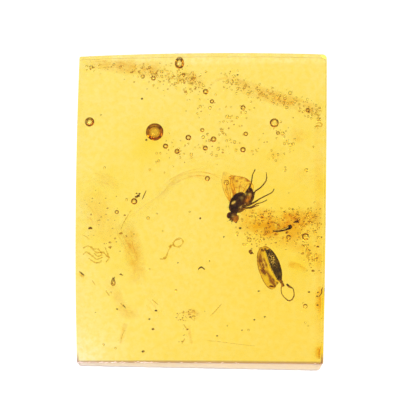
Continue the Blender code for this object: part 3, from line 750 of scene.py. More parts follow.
def new_material(name, **values):
    """A material with one Principled shader; values are its sockets."""
    material = bpy.data.materials.new(name)
    material.use_nodes = True
    tree = material.node_tree
    shader = tree.nodes["Principled BSDF"]
    for label, value in values.items():
        shader.inputs[label.replace("_", " ")].default_value = value
    return material, tree, shader


def read_marks(tree):
    """The three marks as separate sockets."""
    marks = add_node(tree, "ShaderNodeAttribute", attribute_name="marks")
    return add_node(tree, "ShaderNodeSeparateColor", Color=marks.outputs["Color"]).outputs


def blend_colour(tree, mask, low, high):
    """A colour between low and high, each a socket or an RGB triple."""
    mix = tree.nodes.new("ShaderNodeMix")
    mix.data_type = "RGBA"
    tree.links.new(mask, mix.inputs["Factor"])
    for socket, value in ((mix.inputs[6], low), (mix.inputs[7], high)):
        if isinstance(value, bpy.types.NodeSocket):
            tree.links.new(value, socket)
        else:
            socket.default_value = (*value, 1.0)
    return mix.outputs[2]


def reckon(tree, operation, first, second):
    """One sum on two sockets or numbers."""
    node = add_node(tree, "ShaderNodeMath", operation=operation)
    for socket, value in ((node.inputs[0], first), (node.inputs[1], second)):
        if isinstance(value, bpy.types.NodeSocket):
            tree.links.new(value, socket)
        else:
            socket.default_value = value
    return node.outputs[0]


def clear_film(name, make_colour):
    """A film that only tints what is seen through it: it neither bends nor reflects light, as it lies
    inside the resin."""
    material, tree, shader = new_material(name, IOR=1.0, Roughness=0.0, Transmission_Weight=1.0)
    tree.links.new(make_colour(tree), shader.inputs["Base Color"])
    return material


def plain_colour(tree, colour):
    """One colour, a little uneven."""
    faint = mottled(tree, 3000.0, 2.0, 0.3, 0.7)
    paler = tuple(1 - 0.5 * (1 - part) for part in colour)
    return blend_colour(tree, faint, colour, paler)


def amber_material(settings):
    """Clear golden resin: plain transmission and absorption, ground where the first mark says, deeper in
    colour where the second does and tinted dark where the third does, a painted shade line along the front
    rim."""
    material, tree, shader = new_material(
        "clear_amber", IOR=1.54, Transmission_Weight=1.0, Coat_Roughness=0.35,
        Coat_Tint=(*settings.ground_tint, 1.0), Specular_Tint=(*settings.ground_tint, 1.0),
    )
    marks = read_marks(tree)
    sheen = reckon(tree, "MULTIPLY", marks["Red"], settings.ground_sheen)
    tree.links.new(sheen, shader.inputs["Coat Weight"])
    rough = add_node(
        tree, "ShaderNodeMapRange",
        Value=marks["Red"], To_Min=settings.face_roughness, To_Max=settings.side_roughness,
    )
    tree.links.new(rough.outputs["Result"], shader.inputs["Roughness"])
    roughen(tree, shader, 1800.0, 0.15, 0.00001)
    clouds = mottled(tree, 450.0, 5.0, 0.10, 0.60)
    flecks = mottled(tree, 2400.0, 4.0, 0.42, 0.62)
    uneven = reckon(tree, "ADD", reckon(tree, "MULTIPLY", clouds, 0.3), 0.7)
    deep = reckon(tree, "MULTIPLY", marks["Green"], uneven)
    honey = blend_colour(tree, deep, (1.0, 1.0, 1.0), settings.honey_tint)
    faint = reckon(tree, "MULTIPLY", flecks, settings.fleck_strength)
    tint = blend_colour(tree, faint, honey, settings.honey_tint)
    # Painted shade: the third mark tints the front rim dark.
    tint = blend_colour(tree, marks["Blue"], tint, settings.rim_shade_tint)
    tree.links.new(tint, shader.inputs["Base Color"])
    absorb = tree.nodes.new("ShaderNodeVolumeAbsorption")
    absorb.inputs["Color"].default_value = (*settings.absorption_colour, 1.0)
    absorb.inputs["Density"].default_value = settings.absorption_density
    tree.links.new(absorb.outputs["Volume"], tree.nodes["Material Output"].inputs["Volume"])
    return material


def veil_material(settings):
    """Old flow bands: clouds whose strength is the first mark, tan or, where the second mark says,
    yellow."""
    def colour(tree):
        marks = read_marks(tree)
        clouds = mottled(tree, 900.0, 6.0, 0.30, 0.62)
        grains = mottled(tree, 3600.0, 3.0, 0.45, 0.70)
        both = reckon(tree, "ADD", clouds, reckon(tree, "MULTIPLY", grains, 0.5))
        strength = reckon(tree, "MULTIPLY", reckon(tree, "ADD", both, 0.25), marks["Red"])
        tint = blend_colour(tree, marks["Green"], settings.veil_tint, settings.haze_tint)
        return blend_colour(tree, strength, (1.0, 1.0, 1.0), tint)

    return clear_film("flow_veil", colour)


def bark_material(name, dark, light, scale, roughness):
    """Brown plant matter: two browns in fine blotches, with a rough skin."""
    material, tree, shader = new_material(name, Roughness=roughness, IOR=SEALED_IOR)
    blotches = mottled(tree, scale, 4.0, 0.35, 0.65)
    tree.links.new(blend_colour(tree, blotches, dark, light), shader.inputs["Base Color"])
    roughen(tree, shader, scale * 3, 0.5, 0.00002)
    return material


def cuticle_material(settings):
    """Insect shell: dark brown, warmer where the second mark says, as its own orange brown brightened by a
    painted glow of light shining through, with pale painted highlights where the first does and purple sheen
    where the third does."""
    material, tree, shader = new_material("fly_cuticle", Roughness=0.32, IOR=SEALED_IOR)
    marks = read_marks(tree)
    blotches = mottled(tree, 5500.0, 4.0, 0.35, 0.65)
    colour = blend_colour(tree, blotches, settings.shell_dark, settings.shell_light)
    # The second mark: orange brown, brightened as a painted glow of light shining through the thin shell.
    colour = blend_colour(tree, marks["Green"], colour, settings.shell_amber_glow)
    colour = blend_colour(tree, marks["Blue"], colour, settings.shell_purple)
    # Painted highlights: the first mark turns the shell pale where it should shine.
    colour = blend_colour(tree, marks["Red"], colour, settings.shell_highlight)
    tree.links.new(colour, shader.inputs["Base Color"])
    roughen(tree, shader, 16000.0, 0.4, 0.00001)
    return material


def wing_material(settings):
    """Wing membrane: clear amber brown, with darker blotches where the first mark says."""
    def colour(tree):
        marks = read_marks(tree)
        blotches = mottled(tree, 3800.0, 5.0, 0.35, 0.60)
        dark = reckon(tree, "MULTIPLY", marks["Red"], blotches)
        membrane = blend_colour(tree, marks["Green"], settings.membrane_tint, (1.0, 0.93, 0.80))
        stained = blend_colour(tree, dark, membrane, settings.membrane_dark)
        return blend_colour(tree, marks["Blue"], stained, (1.0, 0.98, 0.92))

    return clear_film("wing_membrane", colour)


def vein_material(settings):
    """Wing veins: clear brown in two shades."""
    def colour(tree):
        blotches = mottled(tree, 3500.0, 3.0, 0.35, 0.65)
        return blend_colour(tree, blotches, settings.vein_dark, settings.vein_light)

    return clear_film("wing_vein", colour)


def pale_valve_material(settings):
    """The thin valve: clear yellow, with red-brown blotches where the first mark says, a bright stripe
    where the second does and a pink streak where the third does."""
    def colour(tree):
        marks = read_marks(tree)
        blotches = mottled(tree, 4200.0, 5.0, 0.30, 0.55)
        veins = mottled(tree, 9000.0, 3.0, 0.40, 0.75)
        base = blend_colour(tree, veins, settings.valve_yellow, settings.valve_ochre)
        base = blend_colour(tree, marks["Green"], base, settings.stripe_yellow)
        base = blend_colour(tree, marks["Blue"], base, settings.streak_pink)
        rust = reckon(tree, "MULTIPLY", marks["Red"], blotches)
        return blend_colour(tree, rust, base, settings.valve_rust)

    return clear_film("pale_valve", colour)


def eye_material(settings):
    """Compound eyes: dark red-brown, warmer where the second mark says, a painted glow of light shining
    through the eye.
    """
    material, tree, shader = new_material("fly_eye", Roughness=0.25, IOR=SEALED_IOR)
    marks = read_marks(tree)
    blotches = mottled(tree, 5000.0, 3.0, 0.35, 0.65)
    colour = blend_colour(tree, blotches, settings.eye_dark, settings.eye_red)
    warmed = blend_colour(tree, marks["Green"], colour, settings.shell_amber_glow)
    tree.links.new(warmed, shader.inputs["Base Color"])
    return material


def husk_material(settings):
    """The thick valve: olive brown with a rough sparkling patch where the first mark says."""
    material, tree, shader = new_material("dark_valve", Roughness=0.4, IOR=SEALED_IOR)
    marks = read_marks(tree)
    blotches = mottled(tree, 3500.0, 5.0, 0.35, 0.65)
    glints = mottled(tree, 11000.0, 2.0, 0.50, 0.60)
    base = blend_colour(tree, blotches, settings.olive_dark, settings.olive_light)
    base = blend_colour(tree, marks["Green"], base, settings.valve_rust)
    base = blend_colour(tree, reckon(tree, "MULTIPLY", glints, marks["Red"]), base, settings.glint)
    tree.links.new(base, shader.inputs["Base Color"])
    roughen(tree, shader, 9000.0, 0.6, 0.00003)
    return material


def rim_material(settings):
    """The skin about a bubble: clear, brown where the first mark says, as painted shade of the bubble's dark
    ring.
    """
    def colour(tree):
        marks = read_marks(tree)
        return blend_colour(tree, marks["Red"], (1.0, 1.0, 1.0), settings.bubble_rim_tint)

    return clear_film("bubble_rim", colour)


# The amber.

def slab_outline(corners, radii, per_side):
    """The slab seen from above: four bowed sides, each a straight line plus a parabola, and corners that
    are quadratic curves."""
    corners = np.array(corners)
    stretches = []
    for index in range(4):
        corner, onward, backward = corners[index], corners[(index + 1) % 4], corners[index - 1]
        along = onward - corner
        length = np.linalg.norm(along)
        outward = np.array((along[1], -along[0])) / length
        share = np.linspace(radii[index] / length, 1 - radii[(index + 1) % 4] / length, per_side)[:, None]
        side = corner + along * share + outward * SIDE_BULGES[index] * 4 * share * (1 - share)
        arrive = corner + (backward - corner) / np.linalg.norm(backward - corner) * radii[index]
        part = np.linspace(0, 1, 7)[1:-1][:, None]
        bend = arrive * (1 - part) ** 2 + 2 * corner * part * (1 - part) + side[0] * part**2
        stretches += [bend, side]
    return np.concatenate(stretches)


def ripple(x, y, scale, seed):
    """Gentle unevenness from -1 to 1: a mean of sine waves in several directions."""
    draw = np.random.default_rng(seed)
    total = 0.0
    count = 7
    for _ in range(count):
        heading = draw.uniform(0, math.tau)
        length = scale * draw.uniform(0.6, 1.6)
        travel = (x * math.cos(heading) + y * math.sin(heading)) / length
        total = total + np.sin(math.tau * travel + draw.uniform(0, 9))
    return total / count


def spot_strength(points, spots):
    """Sum of bell shapes about spots seen from above, each a place, a radius and a height."""
    total = np.zeros(points.shape[:-1])
    for x, y, radius, height in spots:
        total += height * np.exp(-((points[..., 0] - x) ** 2 + (points[..., 1] - y) ** 2) / radius**2)
    return total


def slab_part(settings):
    """The outer skin: up the ground sides, over the worn edges and across the polished face, then the base.
    The first mark is how coarsely a face is ground, the second how deep its colour is and the third where
    the front rim carries a painted shade line."""
    base = slab_outline(BASE_CORNERS, BASE_CORNER_RADII, SIDE_POINTS)
    top = slab_outline(TOP_CORNERS, TOP_CORNER_RADII, SIDE_POINTS)
    columns = len(top)

    def inset(loop, amount):
        return loop * (1 - amount / np.array((HALF_WIDTH, HALF_LENGTH)))

    front = np.clip((FRONT_FACE_START - base[:, 1]) / FRONT_FACE_BLEND, 0, 1)
    ground = SIDE_GRIND + (1 - SIDE_GRIND) * front
    chips = ripple(*base.T, 0.9, 5) + 0.8 * ripple(*base.T, 0.3, 9)
    base_bevel = BASE_BEVEL + CHIPPED_BEVEL * front * (0.6 + np.clip(chips, -0.6, 1))
    rim_drop = RIM_DROP + RIM_WAVE * ripple(*top.T, 1.7, 6)
    rings = []
    marks = []

    def add_ring(loop, height, roughness, shaded=0.0):
        rings.append(np.concatenate([loop, np.broadcast_to(height, columns)[:, None]], 1))
        marks.append((np.broadcast_to(roughness, columns), np.broadcast_to(shaded, columns)))

    for share in np.linspace(0.02, 1.0, 24):
        add_ring(inset(base, base_bevel[:, None]) * share, 0.0, 0.0)
    add_ring(inset(base, 0.3 * base_bevel[:, None]), 0.35 * base_bevel, ground)
    wall_top = thickness(*top.T) - rim_drop
    for level in np.linspace(0, 1, 16):
        loop = base * (1 - level) + top * level
        height = base_bevel * (1 - level) + wall_top * level
        grain = GRAIN_DEPTH * (1 - ripple(loop[:, 0], loop[:, 1] + 3 * height, 0.5, 7)) * front
        lean = 2 * math.sin(math.pi * level) * (1 - level) ** 1.5
        # The top of the front wall shares the rim's painted shade line.
        add_ring(inset(loop, grain[:, None] * lean), height, ground, front * (level > 0.90))
    rim_shares = (0.9997, 0.9985)
    for share in (*rim_shares, *(0.996 - 0.976 * np.linspace(0, 1, 46) ** 1.6)):
        loop = inset(top, RIM_INSET) * share
        flat = np.clip((1 - share) / 0.004, 0, 1)
        peel = settings.orange_peel / MM * ripple(*loop.T, 1.1, 8) * flat
        shaded = front * np.clip((share - SHADED_RIM_SHARE) / 0.003, 0, 1)
        add_ring(loop, thickness(*loop.T) + peel - rim_drop * 0.35 * (1 - flat), 0.0, shaded)
    rings = np.array(rings)
    coarse, shaded = np.array(marks).transpose(1, 0, 2)
    middle, reach, strength = PALE_STRIP
    strip = strength * np.exp(-(((rings[..., 1] - middle) / reach) ** 4)) * (rings[..., 2] > 1.0)
    honey = HONEY_LEVEL + spot_strength(rings, HONEY_PLACES) - strip * (rings[..., 0] > PALE_STRIP_START)
    honey += (FRONT_FACE_HONEY - honey) * np.clip(coarse * 1.1 - 0.1, 0, 1)
    return ring_skin(rings, mark_stack(coarse, np.clip(honey, 0, 1), shaded))


def strewn(route, half_width, count, draw):
    """Places along a route: evenly random along it, and bell-shaped across it."""
    line = route_on_plan(route, 200)
    ahead, side, _ = route_frame(line)
    index = draw.integers(0, len(line), count)
    shift = draw.normal(0, 0.55, count)[:, None] * half_width * side[index]
    shift += draw.normal(0, 0.3, count)[:, None] * ahead[index]
    return (line[index] + shift)[:, :2]


def keep_clear(spots, radii):
    """Which balls stand clear of the slab's faces, of the sealed pieces and of every ball listed before
    them."""
    x, y, height = spots.T
    inside = (x > BUBBLES_FROM_LEFT) & (x < BUBBLES_TO_RIGHT + 0.02 * y) & (np.abs(y) < STREWN_TO_END)
    inside &= (height - radii > FACE_MARGIN) & (height + radii < thickness(x, y) - FACE_MARGIN)
    level = np.abs(height - SEALED_LEVEL) < 1.0 + radii
    for centre_x, centre_y, reach in SEALED_PLACES:
        inside &= ~(level & (np.hypot(x - centre_x, y - centre_y) < reach))
    apart = np.linalg.norm(spots[:, None] - spots[None], axis=2)
    touching = apart < radii[:, None] + radii[None] + BUBBLE_GAP
    earlier = np.tril(np.ones_like(touching), -1).astype(bool)
    return inside & ~(touching & earlier).any(1)


def bubble_shape(directions, radius, stretch, squash):
    """A ball, stretched along Y into a drop that is slimmer at its far end, and squashed upright."""
    shape = directions * radius * (1.0, stretch, squash)
    shape[..., 0] *= 1 - 0.5 * (stretch - 1) * directions[..., 1]
    return shape


def bubble_parts(settings):
    """Gas bubbles as cavities: smooth large ones from the table, and small many-sided ones strewn in
    bands."""
    parts = []
    directions = ball_grid(20, 30)
    large = []
    for x, y, share, radius, stretch, squash, _ in BUBBLES:
        shape = bubble_shape(directions, radius, stretch, squash)
        spot = depth_place(x, y, share)
        large.append((*spot, radius * max(stretch, 1.0)))
        wall = LARGEST_BUBBLE_WALL if radius > LARGEST_BUBBLE_RADIUS else LARGE_BUBBLE_WALL
        parts.append(placed(hollow(ring_skin(shape, mark_stack(*wall) + 0 * shape)), spot))
    draw = np.random.default_rng(SEED)
    places = []
    for route, half_width, _, share, count, _ in BANDS + HAZES:
        spots = strewn(route, half_width, count, draw)
        places.append(depth_place(*spots.T, np.clip(share + draw.normal(0, 0.13, count), 0.14, 0.86)))
    count = settings.loose_bubbles
    spots = draw.uniform((-9.3, -11.8), (9.0, 11.8), (count, 2))
    places.append(depth_place(*spots.T, draw.uniform(0.15, 0.85, count)))
    places = np.concatenate(places)
    radii = settings.small_bubble / MM * draw.lognormal(0.0, 0.28, len(places))
    everything = np.concatenate([np.array(large), np.concatenate([places, radii[:, None]], 1)])
    clear = keep_clear(everything[:, :3], everything[:, 3])[len(large):]
    shape = ball_grid(5, 8) * (1.0, 1.0, settings.small_squash)
    small = hollow(ring_skin(shape, mark_stack(*SMALL_BUBBLE_WALL) + 0 * shape))
    parts.append(repeated(small, places[clear], radii[clear]))
    return parts


def bubble_rims():
    """A skin just outside each large bubble, brown where it is steep as painted shade of the bubble's dark
    ring:
    its mark climbs as a smooth step of the distance from the bubble's upright axis."""
    parts = []
    directions = ball_grid(16, 28)
    away = np.hypot(directions[..., 0], directions[..., 1])
    climb = np.clip((away - 0.50) / 0.30, 0, 1)
    for x, y, share, radius, stretch, squash, brown in BUBBLES:
        shape = bubble_shape(directions, radius + SKIN_GAP, stretch, squash)
        middle = LARGEST_BUBBLE_TINT if radius > LARGEST_BUBBLE_RADIUS else 0.0
        # Painted shade of the bubble's dark ring: brown where the skin is steep.
        ring_shade = brown * (middle + (1 - middle) * climb * climb * (3 - 2 * climb))
        parts.append(placed(ring_skin(shape, mark_stack(ring_shade)), depth_place(x, y, share)))
    return parts


def build_amber(settings):
    """The clear slab in place of its two halves, and the skins about its bubbles with their painted shade."""
    parts = [slab_part(settings)] + bubble_parts(settings)
    make_piece(
        "amber", parts, amber_material(settings), math.radians(35),
        replaces=("amber_lower", "amber_upper"),
    )
    make_piece("bubble_rims", bubble_rims(), rim_material(settings))


# What drifts in the resin.

def veil_part(route, half_width, strength, share, seed, yellow=0.0, columns=15):
    """A thin closed sheet along a route, waving up and down, kept inside the slab's sides. Its strength
    falls to nothing at every border: a cosine across it and a power of a sine along it."""
    rows = VEIL_ROWS
    line = route_on_plan(route, rows)
    _, side, _ = route_frame(line)
    across = np.linspace(-1, 1, columns)
    spots = line[:, None, :2] + across[None, :, None] * half_width * side[:, None, :2]
    y = np.clip(spots[..., 1], -12.1, 12.3)
    _, (front_x, front_y), (back_x, back_y), _ = TOP_CORNERS
    right = front_x + (back_x - front_x) * (y - front_y) / (back_y - front_y) - VEIL_MARGIN
    x = np.clip(spots[..., 0], TOP_CORNERS[0][0] + VEIL_MARGIN, right)
    middle = depth_place(x, y, share)
    middle[..., 2] += 0.12 * ripple(x, y, 2.5, seed)
    fade = np.cos(across * math.pi / 2)[None, :] * (np.sin(np.linspace(0, math.pi, rows)) ** 0.8)[:, None]
    half = np.full((rows, columns), VEIL_HALF_THICKNESS)
    return leaf_skin(middle, half, UP, mark_stack(fade * strength, yellow))


def thread_part(route, half_width, count, strength, share, seed):
    """One sheet of threads: a veil whose strength is a sum of narrow bells across it, whose middles stray
    along the route like slow sine waves."""
    draw = np.random.default_rng(seed)
    points, faces, marks = veil_part(route, half_width, 1.0, share, seed, columns=THREAD_COLUMNS)
    along = np.linspace(0, 1, VEIL_ROWS)[:, None]
    across = np.linspace(-1, 1, THREAD_COLUMNS)[None, :]
    pattern = np.zeros((VEIL_ROWS, THREAD_COLUMNS))
    for middle in np.linspace(-0.75, 0.75, count):
        start = middle + draw.normal(0, 0.12)
        stray = start + 0.22 * np.sin(draw.uniform(3, 9) * along + draw.uniform(0, 9))
        weight = draw.uniform(0.4, 1.2)
        heavy = weight * (0.6 + 0.4 * np.sin(draw.uniform(5, 14) * along + draw.uniform(0, 9)))
        pattern += heavy * np.exp(-(((across - stray) * half_width / THREAD_HALF_WIDTH) ** 2))
    both = np.concatenate([pattern, pattern[:, ::-1]], 1).reshape(-1)
    return points, faces, marks * mark_stack(both * strength)


def build_veils(settings):
    """The flow bands with the yellow hazes, the faint wisps and the sheets of threads."""
    material = veil_material(settings)
    bands = [veil_part(*band[:4], SEED + n) for n, band in enumerate(BANDS) if band[2] > 0]
    hazes = [veil_part(*band[:4], SEED + 10 + n, yellow=1.0) for n, band in enumerate(HAZES)]
    make_piece("flow_bands", bands + hazes, material)
    wisps = [veil_part(*wisp, SEED + 20 + n) for n, wisp in enumerate(WISPS)]
    make_piece("flow_wisps", wisps, material)
    threads = [thread_part(*sheet, SEED + 60 + n) for n, sheet in enumerate(THREADS)]
    make_piece("flow_threads", threads, material)


def crumb_part(seed):
    """An irregular lump: a ball whose radius changes at random from point to point."""
    draw = np.random.default_rng(seed)
    shape = ball_grid(5, 8)
    return ring_skin(shape * draw.uniform(0.6, 1.1, shape.shape[:2])[..., None] * CRUMB_SHAPE)


def strewn_specks(settings):
    """Places and sizes of the specks: those of the table first, then those strewn along the bands."""
    draw = np.random.default_rng(SEED + 1)
    x, y, width = np.array(SPECKS).T
    places = [depth_place(x, y, draw.uniform(0.35, 0.65, len(x)))]
    widths = [width]
    for route, half_width, _, share, _, count in BANDS + HAZES:
        spots = strewn(route, half_width, count, draw)
        places.append(depth_place(*spots.T, np.clip(share + draw.normal(0, 0.08, count), 0.1, 0.9)))
        widths.append(settings.speck_width / MM * draw.lognormal(0.0, 0.4, count))
    places = np.concatenate(places)
    radii = np.concatenate(widths) / 2
    return places, radii[:, None] * draw.uniform(0.75, 1.2, (len(radii), 3))


def crumbs_at(places, sizes):
    """Four kinds of crumb, dealt out in turn to the places."""
    return [repeated(crumb_part(kind), places[kind::4], sizes[kind::4]) for kind in range(4)]


def hair_part(route, radius):
    """A dark hair at mid depth, thickest in its middle as a sine."""
    line = smooth_route(depth_place(*np.array(route).T, 0.5), 12 * len(route))
    swell = 0.6 + 0.4 * np.sin(math.pi * np.linspace(0, 1, len(line)))
    return bar_skin(line, radius * swell, 6)


def fibre_parts(route, radius, number):
    """A fibre at mid depth as two strands that sway apart, each thick in its middle and a little beaded."""
    parts = []
    for strand, thick in enumerate((1.15, 0.8)):
        line = smooth_route(depth_place(*np.array(route).T, 0.5), 12 * len(route))
        sway = 0.05 * strand
        line[:, 0] += sway * ripple(line[:, 0], line[:, 1], 0.9, 10 * number + strand)
        line[:, 1] += sway * ripple(line[:, 1], line[:, 0], 0.9, 10 * number + strand + 5)
        line[:, 2] += 0.1 * ripple(line[:, 0], line[:, 1], 1.5, number)
        where = np.linspace(0, 1, len(line))
        swell = (0.55 + 0.45 * np.sin(math.pi * where) ** 0.5) * (1 + 0.3 * np.sin(40 * where + number))
        parts.append(bar_skin(line, radius * swell * thick, 6))
    return parts


def build_debris(settings):
    """Opaque specks and dark hairs, and the clear grains and fibres."""
    places, sizes = strewn_specks(settings)
    number = np.arange(len(places))
    inside = (np.abs(places[:, 0]) < SPECKS_TO_SIDE) & (np.abs(places[:, 1]) < STREWN_TO_END)
    dark = inside & (number < len(SPECKS))
    pale = inside & (number >= len(SPECKS))
    dust = bark_material("dust", settings.dust_dark, settings.dust_light, 3000.0, 0.7)
    hairs = [hair_part(*hair) for hair in DARK_HAIRS]
    make_piece("dust_specks", crumbs_at(places[dark], sizes[dark]) + hairs, dust)
    grain = clear_film("clear_grain", lambda tree: plain_colour(tree, settings.grain_tint))
    make_piece("clear_grains", crumbs_at(places[pale], sizes[pale]), grain)
    strands = [strand for number, fibre in enumerate(FIBRES) for strand in fibre_parts(*fibre, number)]
    fibre = clear_film("clear_fibre", lambda tree: plain_colour(tree, settings.fibre_tint))
    make_piece("fine_fibres", strands, fibre)


# The fly.

def bristles(roots, directions, lengths, radius):
    """Tapering spines: a triangle at the root, a smaller one half way and a point, drooping a little."""
    roots, directions = np.asarray(roots, float), np.asarray(directions, float)
    lengths = np.broadcast_to(lengths, len(roots))[:, None]
    directions = directions / np.linalg.norm(directions, axis=1)[:, None]
    side = np.cross(directions, (0.31, 0.22, 0.92))
    side /= np.linalg.norm(side, axis=1)[:, None]
    rise = np.cross(side, directions)
    turn = (np.arange(3) * math.tau / 3)[None, :, None]
    ring = radius * (np.cos(turn) * side[:, None] + np.sin(turn) * rise[:, None])
    half = roots + directions * lengths * 0.5
    tip = roots + directions * lengths + side * lengths * 0.12
    points = np.concatenate([roots[:, None] + ring, half[:, None] + 0.6 * ring, tip[:, None]], 1)
    start = np.arange(len(roots))[:, None, None] * 7
    quads = np.array([(0, 1, 4, 3), (1, 2, 5, 4), (2, 0, 3, 5)])[None] + start
    triangles = np.array([(2, 1, 0), (3, 4, 6), (4, 5, 6), (5, 3, 6)])[None] + start
    return facing_out(points.reshape(-1, 3), [quads.reshape(-1, 4), triangles.reshape(-1, 3)])


def thorax_grid():
    """An egg, fuller behind as a sine, with bell-shaped cross furrows and lengthwise rows of low swellings,
    which are a cosine round it."""
    shape = ball_grid(44, 56)
    along, wide = shape[..., 0], np.hypot(shape[..., 1], shape[..., 2])
    around = np.arctan2(shape[..., 1], shape[..., 2])
    swell = 1 + 0.06 * np.sin(1.5 * along + 2.6) + 0.015 * np.cos(7 * around) * wide
    for place, depth in THORAX_FURROWS:
        swell -= depth * np.exp(-(((along - place + 0.12 * np.cos(around)) / 0.05) ** 2))
    swell += 0.012 * ripple(along * 2, around, 0.9, 31)
    return shape * swell[..., None] * THORAX_RADII


def abdomen_grid():
    """An egg drawn to a blunt point, built of overlapping plates: each swells to its rear edge, then steps
    in."""
    shape = ball_grid(66, 44)
    along = shape[..., 0]
    plate = (0.5 + 0.5 * along) * 5.5
    swell = 1 + 0.09 * ((plate % 1.0) - 0.6) - 0.10 * np.clip(along, 0, 1) ** 2
    swell += 0.015 * ripple(along * 3, shape[..., 1] * 3, 0.8, 32)
    return shape * mark_stack(1.0, swell, swell) * ABDOMEN_RADII


def eye_grid():
    """An oval covered in low domes, on a lattice of crossed cosine waves."""
    shape = ball_grid(60, 84)
    along = np.arccos(np.clip(shape[..., 0], -1, 1)) * 12
    around = np.arctan2(shape[..., 1], shape[..., 2]) * 14
    domes = 0.012 * np.cos(along * 1.6) * np.cos(around)
    return shape * (1 + domes)[..., None] * EYE_RADII


def limb_part(route, radii):
    """A leg: a round bar that is thick in the femur, thin in the tibia and beaded in the last third, where
    the tarsus's five joints are."""
    count = 16 * len(route)
    line = smooth_route(route, count)
    where = np.linspace(0, 1, count)
    thick = radii_along(count, radii)
    beads = np.clip((where - 0.68) / 0.04, 0, 1) * 0.22 * np.cos(math.tau * 5 * (where - 0.68) / 0.32)
    knees = sum(np.exp(-(((where - knee) / 0.012) ** 2)) for knee in (0.14, 0.44))
    return line, bar_skin(line, thick * (1 + beads - 0.25 * knees), 12)


def limb_spines(line, radii, seed):
    """Short spines that stand out and forwards along a leg."""
    draw = np.random.default_rng(seed)
    ahead, side, rise = route_frame(line)
    index = draw.integers(len(line) // 4, len(line) - 2, LEG_SPINES)
    turn = draw.uniform(0, math.tau, LEG_SPINES)[:, None]
    outward = np.cos(turn) * side[index] + np.sin(turn) * rise[index]
    thick = np.interp(index / len(line), np.linspace(0, 1, len(radii)), radii)[:, None]
    roots = line[index] + outward * thick * 0.8
    claws = np.broadcast_to(line[-1], (2, 3))
    spread = np.array((1, -1))[:, None] * side[-1] * 0.6 + ahead[-1]
    return joined([
        bristles(roots, outward + 1.2 * ahead[index], draw.uniform(0.06, 0.13, LEG_SPINES), 0.008),
        bristles(claws, spread, 0.07, 0.012),
    ])


def surface_bristles(grid, turn, spot, rows, count, lengths, seed):
    """Bristles that stand on the upper part of a body grid and lean backwards."""
    draw = np.random.default_rng(seed)
    row = draw.integers(*rows, count)
    column = draw.integers(0, grid.shape[1], count)
    roots = grid[row, column]
    outward = roots / np.linalg.norm(roots, axis=1)[:, None]
    keep = outward[:, 2] > -0.2
    roots = (roots * 0.985)[keep] @ turn.T + np.asarray(spot)
    lean = (outward[keep] + (-0.5, 0.0, 0.1)) @ turn.T
    return bristles(roots, lean, draw.uniform(*lengths, keep.sum()), 0.011)


def wing_points(wing, along, across):
    """Places on a wing. It is a fan of rays from its base to its margin: along runs from 0 at the base to
    1, across from 0 to 1 round the margin. It is cambered by a sine and pleated between its veins."""
    base, margin, rise = wing[:3]
    line = route_on_plan(margin, 200)
    where = np.clip(across, 0, 1) * (len(line) - 1)
    edge = np.stack([np.interp(where, np.arange(len(line)), line[:, axis]) for axis in range(2)], -1)
    start = np.array(base[:2])
    flat = start + (edge - start) * along[..., None]
    bow = base[2] + rise * along + 0.12 * np.sin(math.pi * across) * np.sin(math.pi * along * 0.8)
    bow = bow + 0.025 * along * np.cos(math.tau * 7.5 * across)
    return np.concatenate([flat, bow[..., None]], -1)


def wing_film(wing):
    """The membrane as a thin closed sheet. Its first mark is strong in blotches, its second towards the
    base, and its third where its tip fades."""
    along, across = np.meshgrid(np.linspace(0.04, 0.995, 44), np.linspace(0, 1, 90), indexing="ij")
    middle = wing_points(wing, along, across)
    blotches = spot_strength(middle, WING_BLOTCHES)
    patchy = 0.30 * along * (ripple(along * 3, across * 5, 0.8, 41) > 0.1)
    fade = wing[4] * np.clip((along - TIP_FADE_START) / (1 - TIP_FADE_START), 0, 1)
    marks = mark_stack(np.clip(blotches + patchy, 0, 1), np.clip(1 - 1.6 * along, 0, 1), fade)
    return leaf_skin(middle, np.full(along.shape, FILM_HALF_THICKNESS), UP, marks)


def wing_veins(wing):
    """Veins: the thick one round the leading margin, rays from the base and cross veins."""
    parts = []
    reach, tip_fade = wing[3:]
    steps = np.linspace(0, 1, 40)
    for across, length in VEINS:
        along = 0.05 + (length * reach - 0.06) * steps
        bent = across + 0.03 * np.sin(2.5 * along + 9 * across)
        parts.append(bar_skin(wing_points(wing, along, bent), 0.050 - 0.025 * steps, 6, 0.4))
    steps = np.linspace(0, 1, 120)
    end = 0.97 if tip_fade == 0 else 0.34
    margin = wing_points(wing, np.full(120, 0.995), 0.01 + (end - 0.01) * steps)
    parts.append(bar_skin(margin, np.interp(steps, (0, 0.4, 0.6, 1), (0.045, 0.032, 0.028, 0.016)), 6))
    for along, start, end in CROSS_VEINS:
        line = wing_points(wing, np.full(8, along), np.linspace(start, end, 8))
        parts.append(bar_skin(line, np.full(8, 0.018), 6))
    return parts


def with_spots(part):
    """The part with its three marks set by the shell's painted highlights, warm painted glow and purple
    sheen.
    """
    points, faces, _ = part
    tables = (HIGHLIGHT_SPOTS, WARM_GLOW_SPOTS, PURPLE_SPOTS)
    return points, faces, mark_stack(*(np.clip(spot_strength(points, spots), 0, 1) for spots in tables))


def feeler_parts(side):
    """One antenna on the head's own axes: a club, and the hair that it bears."""
    club = ((0.24, side * 0.07, 0.08), (0.33, side * 0.09, 0.02), (0.38, side * 0.11, -0.08))
    hair = ((0.36, side * 0.10, -0.02), (0.47, side * 0.16, 0.03), (0.60, side * 0.24, 0.02))
    swell = radii_along(14, (0.035, 0.045, 0.06, 0.03), (0, 0.35, 0.75, 1))
    club = bar_skin(smooth_route(club, 14), swell, 10)
    return [club, bar_skin(smooth_route(hair, 14), np.linspace(0.012, 0.004, 14), 6)]


